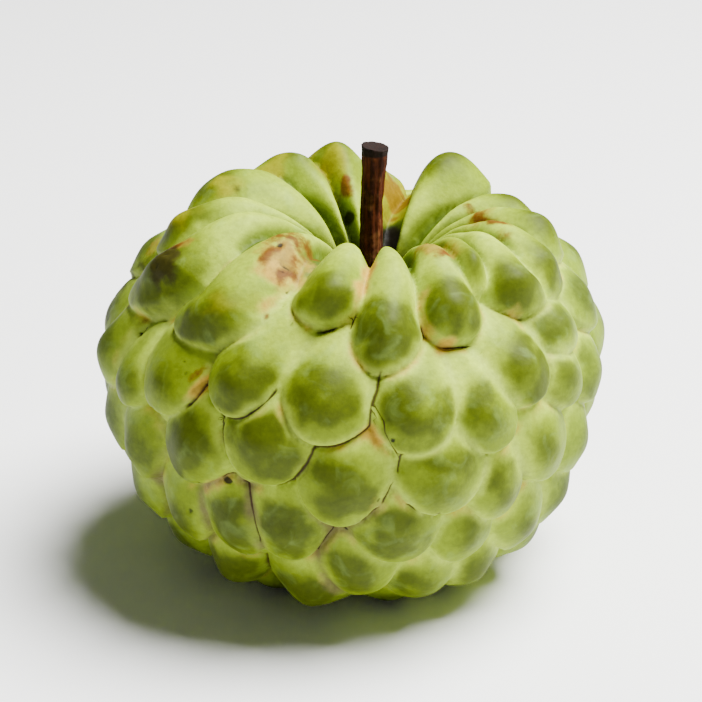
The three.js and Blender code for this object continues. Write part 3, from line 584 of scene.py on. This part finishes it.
# Cracks in the rind, as half width in mm and a run of longitudes and drops. The first ones
# are drawn into the grooves beside them, the others run across the rind itself.
GROOVE_CRACKS = [
    (0.14, [(-13.3, 14.6), (-10.7, 13.5), (-5.4, 11.8), (-3.8, 12.4)]),
    (0.16, [(15.7, 14.4), (19.4, 15.6), (25.7, 17.8), (28.8, 17.9)]),
    (0.13, [(-38.7, 28.2), (-36.6, 30.7), (-35.5, 32.6), (-33.5, 33.7)]),
    (0.2, [(-33.5, 33.7), (-29.2, 32.9), (-25.7, 30.9), (-22.5, 27.5), (-20.8, 24.1)]),
    (0.18, [(-33.2, 34.1), (-30.9, 37.5), (-30.3, 40.4), (-30.5, 42.9), (-30.6, 45.3)]),
    (0.32, [(-8.4, 34.2), (-9.7, 37.5), (-11.6, 40), (-13.3, 40.9), (-16.5, 41.7), (-19.6, 41.7),
            (-23.1, 41.6)]),
    (0.2, [(-25.7, 45), (-25.2, 48.1), (-23.7, 51.7), (-21.7, 55.1)]),
    (0.24, [(2.7, 28.8), (3, 31), (0.8, 32.5), (-1.8, 33.7), (-4.4, 34.1), (-7.9, 33.8)]),
    (0.3, [(-35.7, 27.3), (-39, 29.5), (-40.1, 30.9), (-41.4, 32.5)]),
    (0.5, [(-25.4, 64.2), (-26.6, 66), (-28.8, 68.3)]),
    (0.18, [(10.2, 38.8), (11.3, 40.6), (14.7, 45), (18.2, 46.7), (24, 50.1), (26.6, 49.4)]),
    (0.16, [(7, 41.7), (4.8, 44.4), (1.3, 48.3)]),
    (0.2, [(-69.4, 27.1), (-66, 25.6)]), (0.14, [(-6.2, 52.6), (-9.4, 59.2)]),
]
OPEN_CRACKS = [
    (0.36, [(4.1, 22.5), (3.8, 24.7), (3.1, 26.6), (2.7, 28.8)]),
    (0.2, [(10.5, 36.2), (10.1, 38.8)]),
    (0.13, [(3.5, 27.2), (5.8, 29.8), (6.2, 31.6), (7.6, 33.5), (9.9, 36.3)]),
]
TRACE_STEP = 0.4
TRACE_ROUNDS = 4
TRACE_REACH = 1.6
TRACE_GAP = 1.3
FAR_FROM_CRACK = 99.0
PATCH_LEAST_RADIUS = 6
# The patches' edges wander, by this share of their size. The noise is seeded, because its
# vectors would otherwise start from the clock.
WARP_SIZE = 2.4
WARP_SHARE = 0.75
WARP_SEED = 1
noise.seed_set(WARP_SEED)
base_point = body_point(longitude, drop)
warp = WARP_SHARE * np.array([
    noise.noise_vector(Vector(p) / WARP_SIZE)[:2] for p in base_point.tolist()])


def inside(rows, spread=1):
    """How far each point lies inside the patches, from 0 outside to their strength."""
    share = np.zeros(len(drop))
    for row in rows:
        turn, centre, half_width, half_length, strength, slant = row + (1, 0)[len(row) - 4:]
        radius = max(body_at(centre)[0], PATCH_LEAST_RADIUS)
        sideways = wrap_angle(longitude - math.radians(turn)) * radius
        cosine, sine = math.cos(math.radians(slant)), math.sin(math.radians(slant))
        u = (sideways * cosine - (drop - centre) * sine) / (half_width * spread) + warp[:, 0]
        v = (sideways * sine + (drop - centre) * cosine) / (half_length * spread) + warp[:, 1]
        share = np.maximum(share, strength * np.exp(-u ** 2 - v ** 2))
    return share


def traced(line):
    """The line's points, set closely and moved onto the groove that runs beside them."""
    turns, drops = np.array(line, float).T
    turns = np.radians(turns)
    steps = np.hypot(np.diff(turns) * body_at(drops[:-1])[0], np.diff(drops))
    run = np.concatenate([[0], np.cumsum(steps)])
    marks = np.arange(0, run[-1], TRACE_STEP)
    start_turn, start_drop = np.interp(marks, run, turns), np.interp(marks, run, drops)
    turn, down = start_turn.copy(), start_drop.copy()
    for _ in range(TRACE_ROUNDS):
        first, second, _, _ = two_highest(turn, down)
        _, side_step, down_step = groove_distance(first, second, turn, down)
        turn, down = turn - side_step, down - down_step
    moved = np.hypot((turn - start_turn) * body_at(down)[0], down - start_drop)
    kept = moved < TRACE_REACH
    return np.stack([turn[kept], down[kept]], -1)


def cracks():
    """Signed distance to the nearest crack, in half widths, and its distance in mm."""
    nearest, side = np.full(len(drop), FAR_FROM_CRACK), np.full(len(drop), FAR_FROM_CRACK)
    lines = [(width, traced(line), TRACE_GAP) for width, line in GROOVE_CRACKS]
    lines += [(width, [(math.radians(turn), down) for turn, down in line], FAR_FROM_CRACK)
              for width, line in OPEN_CRACKS]
    for width, line, longest in lines:
        for (turn, start), (next_turn, end) in zip(line, line[1:]):
            radius = body_at(start)[0]
            run_x, run_y = (next_turn - turn) * radius, end - start
            length = math.hypot(run_x, run_y)
            if not TINY < length < longest:
                continue
            x, y = wrap_angle(longitude - turn) * radius, drop - start
            share = np.clip((x * run_x + y * run_y) / length ** 2, 0, 1)
            away = np.hypot(x - share * run_x, y - share * run_y)
            closer = away < nearest
            across_line = (x * run_y - y * run_x) / length / width
            side = np.where(closer, across_line, side)
            nearest = np.where(closer, away, nearest)
    return side, nearest


# The rind follows the swellings, softly joined at the sides of the carpels and sharply
# under a lip. Cracks are pressed in, scars stand a little proud. Sizes are in mm.
LIP_SPAN = 0.6
VALLEY_LIP = 0.3
CAVITY_VALLEY_DROP = 5
FUSED_PAIR = (18, 28)
FUSED_JOIN = 2.4
CRACK_DEPTH = 0.6
CRACK_SHADE = 0.5
SPECK_DEPTH = 0.3
LIP_DEPTH = 0.2
LIP_WIDTH = 0.4
UNEVEN_SIZE = 5.0
UNEVEN_DEPTH = 0.3
SCAR_GRAIN = 0.9
SCAR_DEPTH = 0.16


def noise_at(size):
    """Smooth noise over the rind, from about -1 to 1, with lumps of a size in mm."""
    return np.array([noise.noise(Vector(p) / size) for p in base_point.tolist()])


across, along = place_on(top, longitude, drop, base_point)
_, next_along = place_on(following, longitude, drop, base_point)
lip_of_top = smoothstep(along / CARPELS["below"][top] / LIP_SPAN)
lip_of_next = smoothstep(next_along / CARPELS["below"][following] / LIP_SPAN)
by_valley = (top == VALLEY) | (following == VALLEY)
lip = np.where(by_valley, VALLEY_LIP, np.maximum(lip_of_top, lip_of_next))
fingers = [CARPELS["finger"][ids] | ((ids == VALLEY) & (drop < CAVITY_VALLEY_DROP))
           for ids in (top, following)]
between_fingers = fingers[0] & fingers[1]
lip = np.where(between_fingers, np.maximum(lip, FINGER_JOIN_LIP), lip)
softness = SOFT_JOIN + (SHARP_JOIN - SOFT_JOIN) * lip
fused = np.minimum(top, following) == FUSED_PAIR[0]
fused &= np.maximum(top, following) == FUSED_PAIR[1]
softness = np.where(fused, FUSED_JOIN, softness)
blend = np.maximum(softness - (top_height - next_height), 0)
relief = top_height + blend ** 2 / (4 * softness) - dented(longitude, drop)
relief *= fade(drop - DROP_START, CAVITY_FADE_START, CAVITY_FADE_LENGTH)
crack_side, crack_away = cracks()
speck = inside(SPECKS)
russet, tan_scar, olive = inside(RUSSET_SCARS), inside(TAN_SCARS), inside(OLIVE_SCARS)
scarred = np.clip(np.maximum(np.maximum(russet, tan_scar), olive), 0, 1)
relief -= LIP_DEPTH * lip * np.exp(-(groove / LIP_WIDTH) ** 2) * ~fused
relief -= CRACK_DEPTH * np.exp(-(crack_away / CRACK_SHADE) ** 2)
relief -= SPECK_DEPTH * np.clip(speck, 0, 1)
relief += UNEVEN_DEPTH * noise_at(UNEVEN_SIZE) + SCAR_DEPTH * scarred * noise_at(SCAR_GRAIN)
skin_points = base_point + body_normal(longitude, drop) * relief[:, None]
skin_points[:, 2] = np.maximum(skin_points[:, 2], 0)


def new_piece(name, points, faces):
    """A smooth mesh object from points in mm."""
    mesh = bpy.data.meshes.new(name)
    mesh.from_pydata((np.asarray(points) * MM).tolist(), [], faces)
    mesh.update()
    mesh.shade_smooth()
    piece = bpy.data.objects.new(name, mesh)
    bpy.context.scene.collection.objects.link(piece)
    return piece


def paint(piece, name, values):
    """Stores one number for each point of a piece, for its material to read."""
    layer = piece.data.attributes.new(name, "FLOAT", "POINT")
    layer.data.foreach_set("value", np.asarray(values, np.float32))


def evened(values, rounds=2):
    """Values averaged with their neighbours' on the rind, which takes the jags off edges."""
    starts, ends = triangles.T.ravel(), np.roll(triangles, -1, axis=1).T.ravel()
    count = np.bincount(starts, minlength=len(drop)) + 1
    values = np.asarray(values, float)
    for _ in range(rounds):
        values = (values + np.bincount(starts, values[ends], len(drop))) / count
    return values


fruit_skin = new_piece("fruit_skin", skin_points, triangles.tolist())
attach(fruit_skin, "root")
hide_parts("fruit")

# A blotch keeps to its own carpel. Every carpel also has one on its crown, fainter where
# rows above draw it, with its size and place drawn for each, as a least and a span.
BLOTCH_SPREAD = 1.5
MIDDLE_RADIUS = 40
OWN_SEED = 11
OWN_ASIDE = 0.3
OWN_WIDTH = (0.42, 0.2)
OWN_PLACE = (0.05, 0.3)
OWN_LENGTH = 0.55
OWN_STRENGTH = (0.7, 0.4)
OWN_UNDER_ROWS = 0.7
# The fingers from the right side round behind to the left one have no rows.
FINGERS_WITHOUT_ROWS = (5, 15)
blotch = np.zeros(len(drop))
for row in BLOTCHES:
    aside = wrap_angle(longitude - math.radians(row[0])) * MIDDLE_RADIUS
    nearest = np.argmin(aside ** 2 + (drop - row[1]) ** 2)
    spread = np.maximum(blotch, inside([row], BLOTCH_SPREAD))
    blotch = np.where(top == top[nearest], spread, blotch)
draw = seeded_draws(OWN_SEED)
draws = np.array([[next(draw) for _ in range(4)] for _ in range(CARPEL_COUNT)])[top]
width, below = CARPELS["width"][top], CARPELS["below"][top]
own_across = across - (draws[:, 0] - 0.5) * OWN_ASIDE * width
own_across /= (OWN_WIDTH[0] + OWN_WIDTH[1] * draws[:, 1]) * width
own_along = along - (OWN_PLACE[0] + OWN_PLACE[1] * draws[:, 2]) * below
own_along /= OWN_LENGTH * below
own_strength = OWN_STRENGTH[0] + OWN_STRENGTH[1] * draws[:, 3]
own_blotch = own_strength * np.exp(-own_across ** 2 - own_along ** 2)
without_rows = top >= len(RIM_CARPELS) + len(FRONT_CARPELS)
without_rows |= (top >= FINGERS_WITHOUT_ROWS[0]) & (top < FINGERS_WITHOUT_ROWS[1])
blotch = np.maximum(blotch, own_blotch * np.where(without_rows, 1, OWN_UNDER_ROWS))
blotch *= (1 - fade(-along, 1, 6)) * fade(groove, -0.2, 1.8)

# Bare rind is tucked under the lips, here and there. Rows of it on the front keep near the
# grooves, and the valleys' floors are bare.
PATCHY_SIZE = 8.0
TUCKED_SHARE = 0.95
VALLEY_BARE = 0.7
ROWS_KEEP_NEAR_FROM = 9
patchy = noise_at(PATCHY_SIZE)
tucked = lip_of_next * fade(-along, 0, 5) * (1 - fade(groove, 0, 3.2)) * fade(patchy, -0.22, 0.3)
near_groove = np.where(drop < ROWS_KEEP_NEAR_FROM, 1, 1 - fade(groove, 1.2, 1.8))
bare = np.maximum(inside(BARE_PATCHES) * near_groove, TUCKED_SHARE * tucked)
valley, outside = top == VALLEY, drop > CAVITY_VALLEY_DROP
bare = np.where(valley & outside, np.maximum(bare, VALLEY_BARE), bare)
# Painted shade: a darker green in the creases between the fingers near the crest, and over the
# valley floors inside the cavity.
crease_shade = between_fingers * (1 - fade(groove, 0, 2.4)) * (1 - fade(drop, 2, 6))
crease_shade = np.where(valley & ~outside, 1, crease_shade)

# Painted shade: low on the left of the front the rind is painted darker, with deeper crowns and
# less pale, and the bare strips along the grooves there are painted as in shade.
LOW_LEFT_SHADE_ON_CROWNS = 0.3
LOW_LEFT_SHADE_ON_PALE = 0.6
low_left_shade = fade(drop, 30, 18) * fade(-longitude, -0.5, 0.6)
low_left_shade *= fade(longitude, -1.7, 0.5) * (1 - fade(drop, 85, 10))
unshaded_share = 1 - LOW_LEFT_SHADE_ON_PALE * low_left_shade
dusky = low_left_shade * (1 - fade(groove, 0.2, 1.7)) * fade(patchy, -0.2, 0.5)
rim = (1 - smoothstep(groove / (1.1 + 0.9 * lip_of_top))) * ~between_fingers
middle = fade(groove, 0.2, 3.4 + 3 * patchy)
# Painted shade: the cavity is painted near black from about 20 mm inside the crest, and in a
# hollow behind the stem.
cavity_shade = np.maximum(1 - fade(drop, -24, 9), inside([(166, -18.4, 3, 4, 1.4)]))
# Painted shade: a thin dark line along the groove under each lip, patchy.
seam = lip * (1 - fade(groove, 0.1, 0.5)) * (0.55 + patchy)
marks = {
    "blotch": evened(blotch * (1 + LOW_LEFT_SHADE_ON_CROWNS * low_left_shade)),
    "upper": evened(fade(-along, 0, 9) * ~valley * unshaded_share),
    "middle": evened(np.maximum(middle, LOW_LEFT_SHADE_ON_PALE * low_left_shade)),
    "rim": evened(rim * unshaded_share),
    "crease_shade": evened(crease_shade),
    "seam": evened(np.clip(seam, 0, 1) * ~between_fingers * ~fused, 1),
    "bare": evened(bare),
    "dusky": evened(dusky),
    "powder": fade(np.abs(wrap_angle(longitude)), 0.7, 0.6) * ~fingers[0],
    "crack_side": np.clip(crack_side, -8, 8),
    "crack_near": 1 - fade(crack_away, 0.5, 0.5),
    "speck": speck, "russet": russet, "tan_scar": tan_scar, "olive_scar": olive,
    "yellowed": inside(YELLOW_PATCHES),
    "cavity": evened(np.clip(cavity_shade, 0, 1)),
}
for name, values in marks.items():
    paint(fruit_skin, name, values)


def srgb(code):
    """Linear colour of an sRGB hex value."""
    channels = [int(code[i:i + 2], 16) / 255 for i in (1, 3, 5)]
    linear = [c / 12.92 if c <= 0.04045 else ((c + 0.055) / 1.055) ** 2.4 for c in channels]
    return (*linear, 1)


def new_material(name):
    """A material and its node tree, still empty."""
    material = bpy.data.materials.new(name)
    material.use_nodes = True
    material.node_tree.nodes.clear()
    return material, material.node_tree


def add(tree, kind, settings=None, **inputs):
    """Adds a node. An input is a value, a node to link from, or a (node, output) pair."""
    node = tree.nodes.new("ShaderNode" + kind)
    for name, value in (settings or {}).items():
        setattr(node, name, value)
    for name, value in inputs.items():
        socket = node.inputs[int(name[1:]) if name[1:].isdigit() else name.replace("_", " ")]
        source = value if isinstance(value, tuple) else (value, 0)
        if isinstance(source[0], bpy.types.Node):
            tree.links.new(source[0].outputs[source[1]], socket)
        else:
            socket.default_value = value
    return node


# Fruit rind under its natural wax, as it grew: a satin skin with a soft, powdery sheen.
# The eye sees saturated green where the wax is thin, whitish green where it lies thick, and
# dry matt brown on scars.
rind, tree = new_material("waxy_rind")
SMOOTH = {"interpolation_type": "SMOOTHSTEP"}
COLOURS = {"data_type": "RGBA"}
TIMES = {"operation": "MULTIPLY"}
TIMES_PLUS = {"operation": "MULTIPLY_ADD"}
coords = add(tree, "TexCoord")
# Noises: size of their lumps in mm, detail, roughness and distortion.
NOISES = {
    "broad": (9, 2, 0.5, 0), "patch": (3.2, 4, 0.6, 0), "fine": (0.8, 5, 0.5, 0),
    "bloom": (4.5, 3, 0.5, 0.8), "scar": (1.6, 6, 0.65, 0), "mottle": (1.2, 6, 0.7, 0),
}
lumps = {
    name: add(tree, "TexNoise", Vector=(coords, "Object"), Scale=1 / (size * MM), Detail=detail,
              Roughness=roughness, Distortion=distortion)
    for name, (size, detail, roughness, distortion) in NOISES.items()
}
mark = {name: (add(tree, "Attribute", {"attribute_name": name}), "Fac") for name in marks}

# The green is paler on the upper flanks and near the grooves, and whitish with wax on rims.
off_middle = add(tree, "Math", {"operation": "SUBTRACT"}, i0=1.0, i1=mark["middle"])
near_edge = add(tree, "Math", TIMES, i0=off_middle, i1=0.75)
pale_place = add(tree, "Math", TIMES_PLUS, i0=mark["upper"], i1=0.62, i2=near_edge)
pale = add(tree, "Math", TIMES_PLUS, i0=lumps["broad"], i1=0.9, i2=pale_place)
uneven_rim = add(tree, "MapRange", SMOOTH, Value=lumps["patch"], From_Min=0.3, From_Max=0.6,
                 To_Min=0.1, To_Max=0.5)
waxy_rim = add(tree, "Math", TIMES, i0=mark["rim"], i1=uneven_rim)
# The crowns' blotches have edges broken up by the mottling, and bloom lies thin over all.
ragged = add(tree, "Math", TIMES_PLUS, i0=lumps["patch"], i1=0.26, i2=mark["blotch"])
crown = add(tree, "Math", TIMES_PLUS, i0=lumps["fine"], i1=0.12, i2=ragged)
thin_bloom = add(tree, "MapRange", SMOOTH, Value=lumps["bloom"], From_Min=0.52, From_Max=0.74,
                 To_Max=0.22)
powdered = add(tree, "Math", {**TIMES_PLUS, "use_clamp": True}, i0=mark["powder"], i1=0.08,
               i2=thin_bloom)
# Bare places and scars are ragged at about half a millimetre.
RAGGED = {"bare": 0.7, "dusky": 0.6, "tan_scar": 0.9, "russet": 0.9, "olive_scar": 0.9}
torn = {name: add(tree, "Math", TIMES_PLUS, i0=lumps["scar"], i1=share, i2=mark[name])
        for name, share in RAGGED.items()}
crack_width = add(tree, "Math", {"operation": "ABSOLUTE"}, i0=mark["crack_side"])
crack_ragged = add(tree, "Math", TIMES_PLUS, i0=lumps["patch"], i1=2.4, i2=crack_width)
crack_line = add(tree, "MapRange", SMOOTH, Value=crack_ragged, From_Min=1.4, From_Max=2.6,
                 To_Min=0.9, To_Max=0.0)
crack = add(tree, "Math", TIMES, i0=crack_line, i1=mark["crack_near"])

# Coats over the middle green, each over the ones before: what places it and its colour, then
# the values between which it comes in and its most. One without these is as its place says.
MIDDLE_GREEN = "#708408"
COATS = {
    "pale flank": (pale, "#A6BC32", 0.45, 1.55, 0.95),
    "waxy rim": (waxy_rim, "#96A650"),
    # painted shade in the creases between fingers and on the cavity's valley floors
    "crease_shade": (mark["crease_shade"], "#3C4E04"),
    # painted shade under the lips
    "painted shade under a lip": (mark["seam"], "#2E3602", 0, 1, 0.75),
    "crown": (crown, "#3F4A02", 0.22, 0.95, 0.95),
    "deepest crown": (crown, "#2E3602", 0.95, 1.5, 0.35),
    "bloom": (powdered, "#7C9850"),
    "yellow": (mark["yellowed"], "#787A00", 0.1, 0.9, 1),
    "gold": (mark["yellowed"], "#705800", 0.9, 1.5, 1),
    "bare cream": (torn["bare"], "#AC9C38", 0.5, 1.25, 0.85),
    "bare pinkish tan": (torn["bare"], "#A98426", 0.8, 1.35, 0.85),
    # bare rind painted as in shade, low on the left of the front
    "bare strip in painted shade": (torn["dusky"], "#62573A", 0.4, 1.3, 0.85),
    "tan cork": (torn["tan_scar"], "#826C1C", 0.7, 1.35, 0.85),
    "russet cork": (torn["russet"], "#5C3606", 0.7, 1.35, 0.95),
    "olive scab": (torn["olive_scar"], "#2C2707", 0.7, 1.35, 0.9),
    "speck": (mark["speck"], "#110D05", 0.5, 1.1, 0.92),
    "crack": (crack, "#2C1409"),
    # painted shade deep in the cavity
    "cavity": (mark["cavity"], "#110D05", 0, 1, 1),
}
colour = srgb(MIDDLE_GREEN)
for coat, (place, tint, *limits) in COATS.items():
    if limits:
        place = add(tree, "MapRange", SMOOTH, Value=place, From_Min=limits[0],
                    From_Max=limits[1], To_Max=limits[2])
    layer = add(tree, "Mix", {**COLOURS, "label": coat}, i0=place, i6=colour, i7=srgb(tint))
    colour = (layer, 2)
# Fine mottling, darker and lighter by turns, all over the rind.
mottling = add(tree, "MapRange", Value=lumps["mottle"], From_Min=0.3, From_Max=0.7, To_Min=0.78,
               To_Max=1.2)
mottled = add(tree, "Mix", {**COLOURS, "blend_type": "MULTIPLY"}, i0=1.0, i6=colour, i7=mottling)
skin_bump = add(tree, "Bump", Strength=0.3, Distance=0.0002, Height=lumps["fine"])
skin_shader = add(tree, "BsdfPrincipled", Base_Color=(mottled, 2), Roughness=0.55, IOR=1.45,
                  Specular_IOR_Level=0.12, Normal=skin_bump)
add(tree, "OutputMaterial", Surface=skin_shader)
fruit_skin.data.materials.append(rind)

# ---- the stem stub ----
# The woody stalk, about 5 mm thick, dry and dark with fine ridges along it, cut off flat
# and a little aslant.
STEM_STATIONS = np.array([
    (48, 2.3, 2.9), (52, 2.3, 2.9), (56, 2.25, 2.85), (62, 2.15, 2.75), (70, 2, 2.8),
    (76, 2.15, 3.2), (81, 2.5, 3.45),
])
STEM_FOOT = 50.2
STEM_TOP = 80.6
STEM_CUT_SLOPE = 0.14
CUT_BEND = 6
STEM_ROWS = 130
STEM_SIDES = 72
CUT_RINGS = (0.93, 0.8, 0.6, 0.4, 0.2)
CUT_SINK = 0.35
# Ridges round the stem: how many, how high, and their twist up it.
RIDGES = [(9, 0.07, 0.05), (17, 0.04, 0)]
# Roughness of the bark: depth and how often it varies, over places squeezed along the stem.
ROUGHNESS = [(0.14, 0.8), (0.08, 2.7)]
BARK_AROUND = 3
BARK_SQUEEZE = 0.5
BARK_INSET = 0.05
CUT_ROUGHNESS = 0.12


def stem_at(height):
    """Radius and sideways offset of the stem at a height, in mm."""
    return [np.interp(height, STEM_STATIONS[:, 0], STEM_STATIONS[:, j]) for j in (1, 2)]


turns = np.arange(STEM_SIDES) * 2 * math.pi / STEM_SIDES
stem_points = []
for height in np.linspace(STEM_FOOT, STEM_TOP, STEM_ROWS):
    radius, offset = stem_at(height)
    bend = fade(height - STEM_TOP, -CUT_BEND, CUT_BEND)
    for turn in turns:
        place = Vector((BARK_AROUND * math.cos(turn), BARK_AROUND * math.sin(turn),
                        height * BARK_SQUEEZE))
        ridge = sum(high * math.sin(count * turn + twist * height)
                    for count, high, twist in RIDGES)
        rough = sum(depth * noise.noise(place * often) for depth, often in ROUGHNESS)
        r = radius + ridge + rough - BARK_INSET
        x = r * math.cos(turn)
        stem_points.append((x + offset, r * math.sin(turn), height - STEM_CUT_SLOPE * x * bend))
# The cut face is sunk a little towards the pith.
radius, offset = stem_at(STEM_TOP)
for share in CUT_RINGS:
    for turn in turns:
        x, y = radius * share * math.cos(turn), radius * share * math.sin(turn)
        sunk = CUT_SINK * (1 - share) + CUT_ROUGHNESS * noise.noise(Vector((x, y, 3)) * 2)
        stem_points.append((x + offset, y, STEM_TOP - STEM_CUT_SLOPE * x - sunk))
pith = len(stem_points)
stem_points.append((offset, 0, STEM_TOP - CUT_SINK))
stem_faces = []
for start in range(0, pith, STEM_SIDES):
    for k in range(STEM_SIDES):
        a, b = start + k, start + (k + 1) % STEM_SIDES
        inmost = start + STEM_SIDES == pith
        stem_faces.append((a, b, pith) if inmost else (a, b, b + STEM_SIDES, a + STEM_SIDES))
stem_faces.append(tuple(reversed(range(STEM_SIDES))))
stem_bark = new_piece("stem_bark", stem_points, stem_faces)
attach(stem_bark, "root")
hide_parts("stem")
heights = np.array([p[2] for p in stem_points])
is_cut = np.arange(len(stem_points)) >= (STEM_ROWS - 2) * STEM_SIDES
paint(stem_bark, "near_top", np.where(is_cut, 1, fade(heights, STEM_TOP - 2.2, 1.6)))

# Dry bark of a cut stalk, weathered: matt, rough along its length. The eye sees dark reddish
# brown with lighter worn streaks, nearly black where it was cut.
bark, tree = new_material("dry_bark")
coords = add(tree, "TexCoord")
# Fibres about 0.5 mm wide and 4 mm long.
along_stem = add(tree, "Mapping", Vector=(coords, "Object"), Scale=(1, 1, 0.12))
fibre = add(tree, "TexNoise", Vector=along_stem, Scale=1 / (0.9 * MM), Detail=5.0, Roughness=0.6)
worn_lumps = add(tree, "TexNoise", Vector=(coords, "Object"), Scale=1 / (3.5 * MM), Detail=4.0)
near_top = add(tree, "Attribute", {"attribute_name": "near_top"})
blackened = add(tree, "Math", TIMES_PLUS, i0=fibre, i1=0.6, i2=(near_top, "Fac"))
DARK_BARK = "#2A1006"
BARK_COATS = {
    "reddish fibre": (fibre, "#52240C", 0.38, 0.62, 1),
    "worn": (worn_lumps, "#7C4E2A", 0.52, 0.7, 0.6),
    "black cut": (blackened, "#120D0A", 0.55, 1, 0.92),
}
colour = srgb(DARK_BARK)
for coat, (place, tint, start, full, most) in BARK_COATS.items():
    share = add(tree, "MapRange", SMOOTH, Value=place, From_Min=start, From_Max=full, To_Max=most)
    layer = add(tree, "Mix", {**COLOURS, "label": coat}, i0=share, i6=colour, i7=srgb(tint))
    colour = (layer, 2)
bark_bump = add(tree, "Bump", Strength=0.5, Distance=0.0003, Height=fibre)
bark_shader = add(tree, "BsdfPrincipled", Base_Color=colour, Roughness=0.78, IOR=1.45,
                  Specular_IOR_Level=0.15, Normal=bark_bump)
add(tree, "OutputMaterial", Surface=bark_shader)
stem_bark.data.materials.append(bark)

# ---- floor, light and camera ----
# A plain pale floor under broad soft light from above, and a camera a little above the
# fruit's shoulder.
FLOOR_HALF = 3.0
floor_mesh = bpy.data.meshes.new("floor")
floor_mesh.from_pydata([(FLOOR_HALF * x, FLOOR_HALF * y, 0)
                        for x, y in ((-1, -1), (1, -1), (1, 1), (-1, 1))], [], [(0, 1, 2, 3)])
floor = bpy.data.objects.new("floor", floor_mesh)
bpy.context.scene.collection.objects.link(floor)
paper, tree = new_material("white_paper")
paper_shader = add(tree, "BsdfPrincipled", Base_Color=srgb("#F8F8F6"), Roughness=0.9)
add(tree, "OutputMaterial", Surface=paper_shader)
floor_mesh.materials.append(paper)

ROOM_LIGHT = 0.08
world = bpy.data.worlds.new("soft_room")
bpy.context.scene.world = world
world.use_nodes = True
room = world.node_tree.nodes["Background"]
room.inputs["Color"].default_value = (1, 1, 1, 1)
room.inputs["Strength"].default_value = ROOM_LIGHT
# Round lamps: name, place and width in metres, power in watts.
LAMP_TARGET = Vector((0, 0, 0.04))
LAMPS = [
    ("sky_panel", Vector((0.34, 0.04, 0.8)), 0.6, 40),
    ("front_fill", Vector((0.3, -0.9, 0.55)), 0.6, 0.4),
]
for name, place, size, power in LAMPS:
    lamp = bpy.data.lights.new(name, "AREA")
    lamp.shape = "DISK"
    lamp.size = size
    lamp.energy = power
    holder = bpy.data.objects.new(name, lamp)
    holder.location = place
    holder.rotation_euler = (LAMP_TARGET - place).to_track_quat("-Z", "Y").to_euler()
    bpy.context.scene.collection.objects.link(holder)

CAMERA_ELEVATION = math.radians(24)
CAMERA_DISTANCE = 0.5
CAMERA_TARGET = Vector((-0.0009, 0.0002, 0.0405))
PIXELS_PER_MM = 5.42
IMAGE_WIDTH = 702
SENSOR_WIDTH = 36
back = Vector((0, -math.cos(CAMERA_ELEVATION), math.sin(CAMERA_ELEVATION)))
camera_data = bpy.data.cameras.new("camera")
camera_data.sensor_width = SENSOR_WIDTH
camera_data.lens = SENSOR_WIDTH * PIXELS_PER_MM * CAMERA_DISTANCE / MM / IMAGE_WIDTH
camera = bpy.data.objects.new("camera", camera_data)
camera.location = CAMERA_TARGET + back * CAMERA_DISTANCE
camera.rotation_mode = "QUATERNION"
camera.rotation_quaternion = (-back).to_track_quat("-Z", "Y")
bpy.context.scene.collection.objects.link(camera)
bpy.context.scene.camera = camera
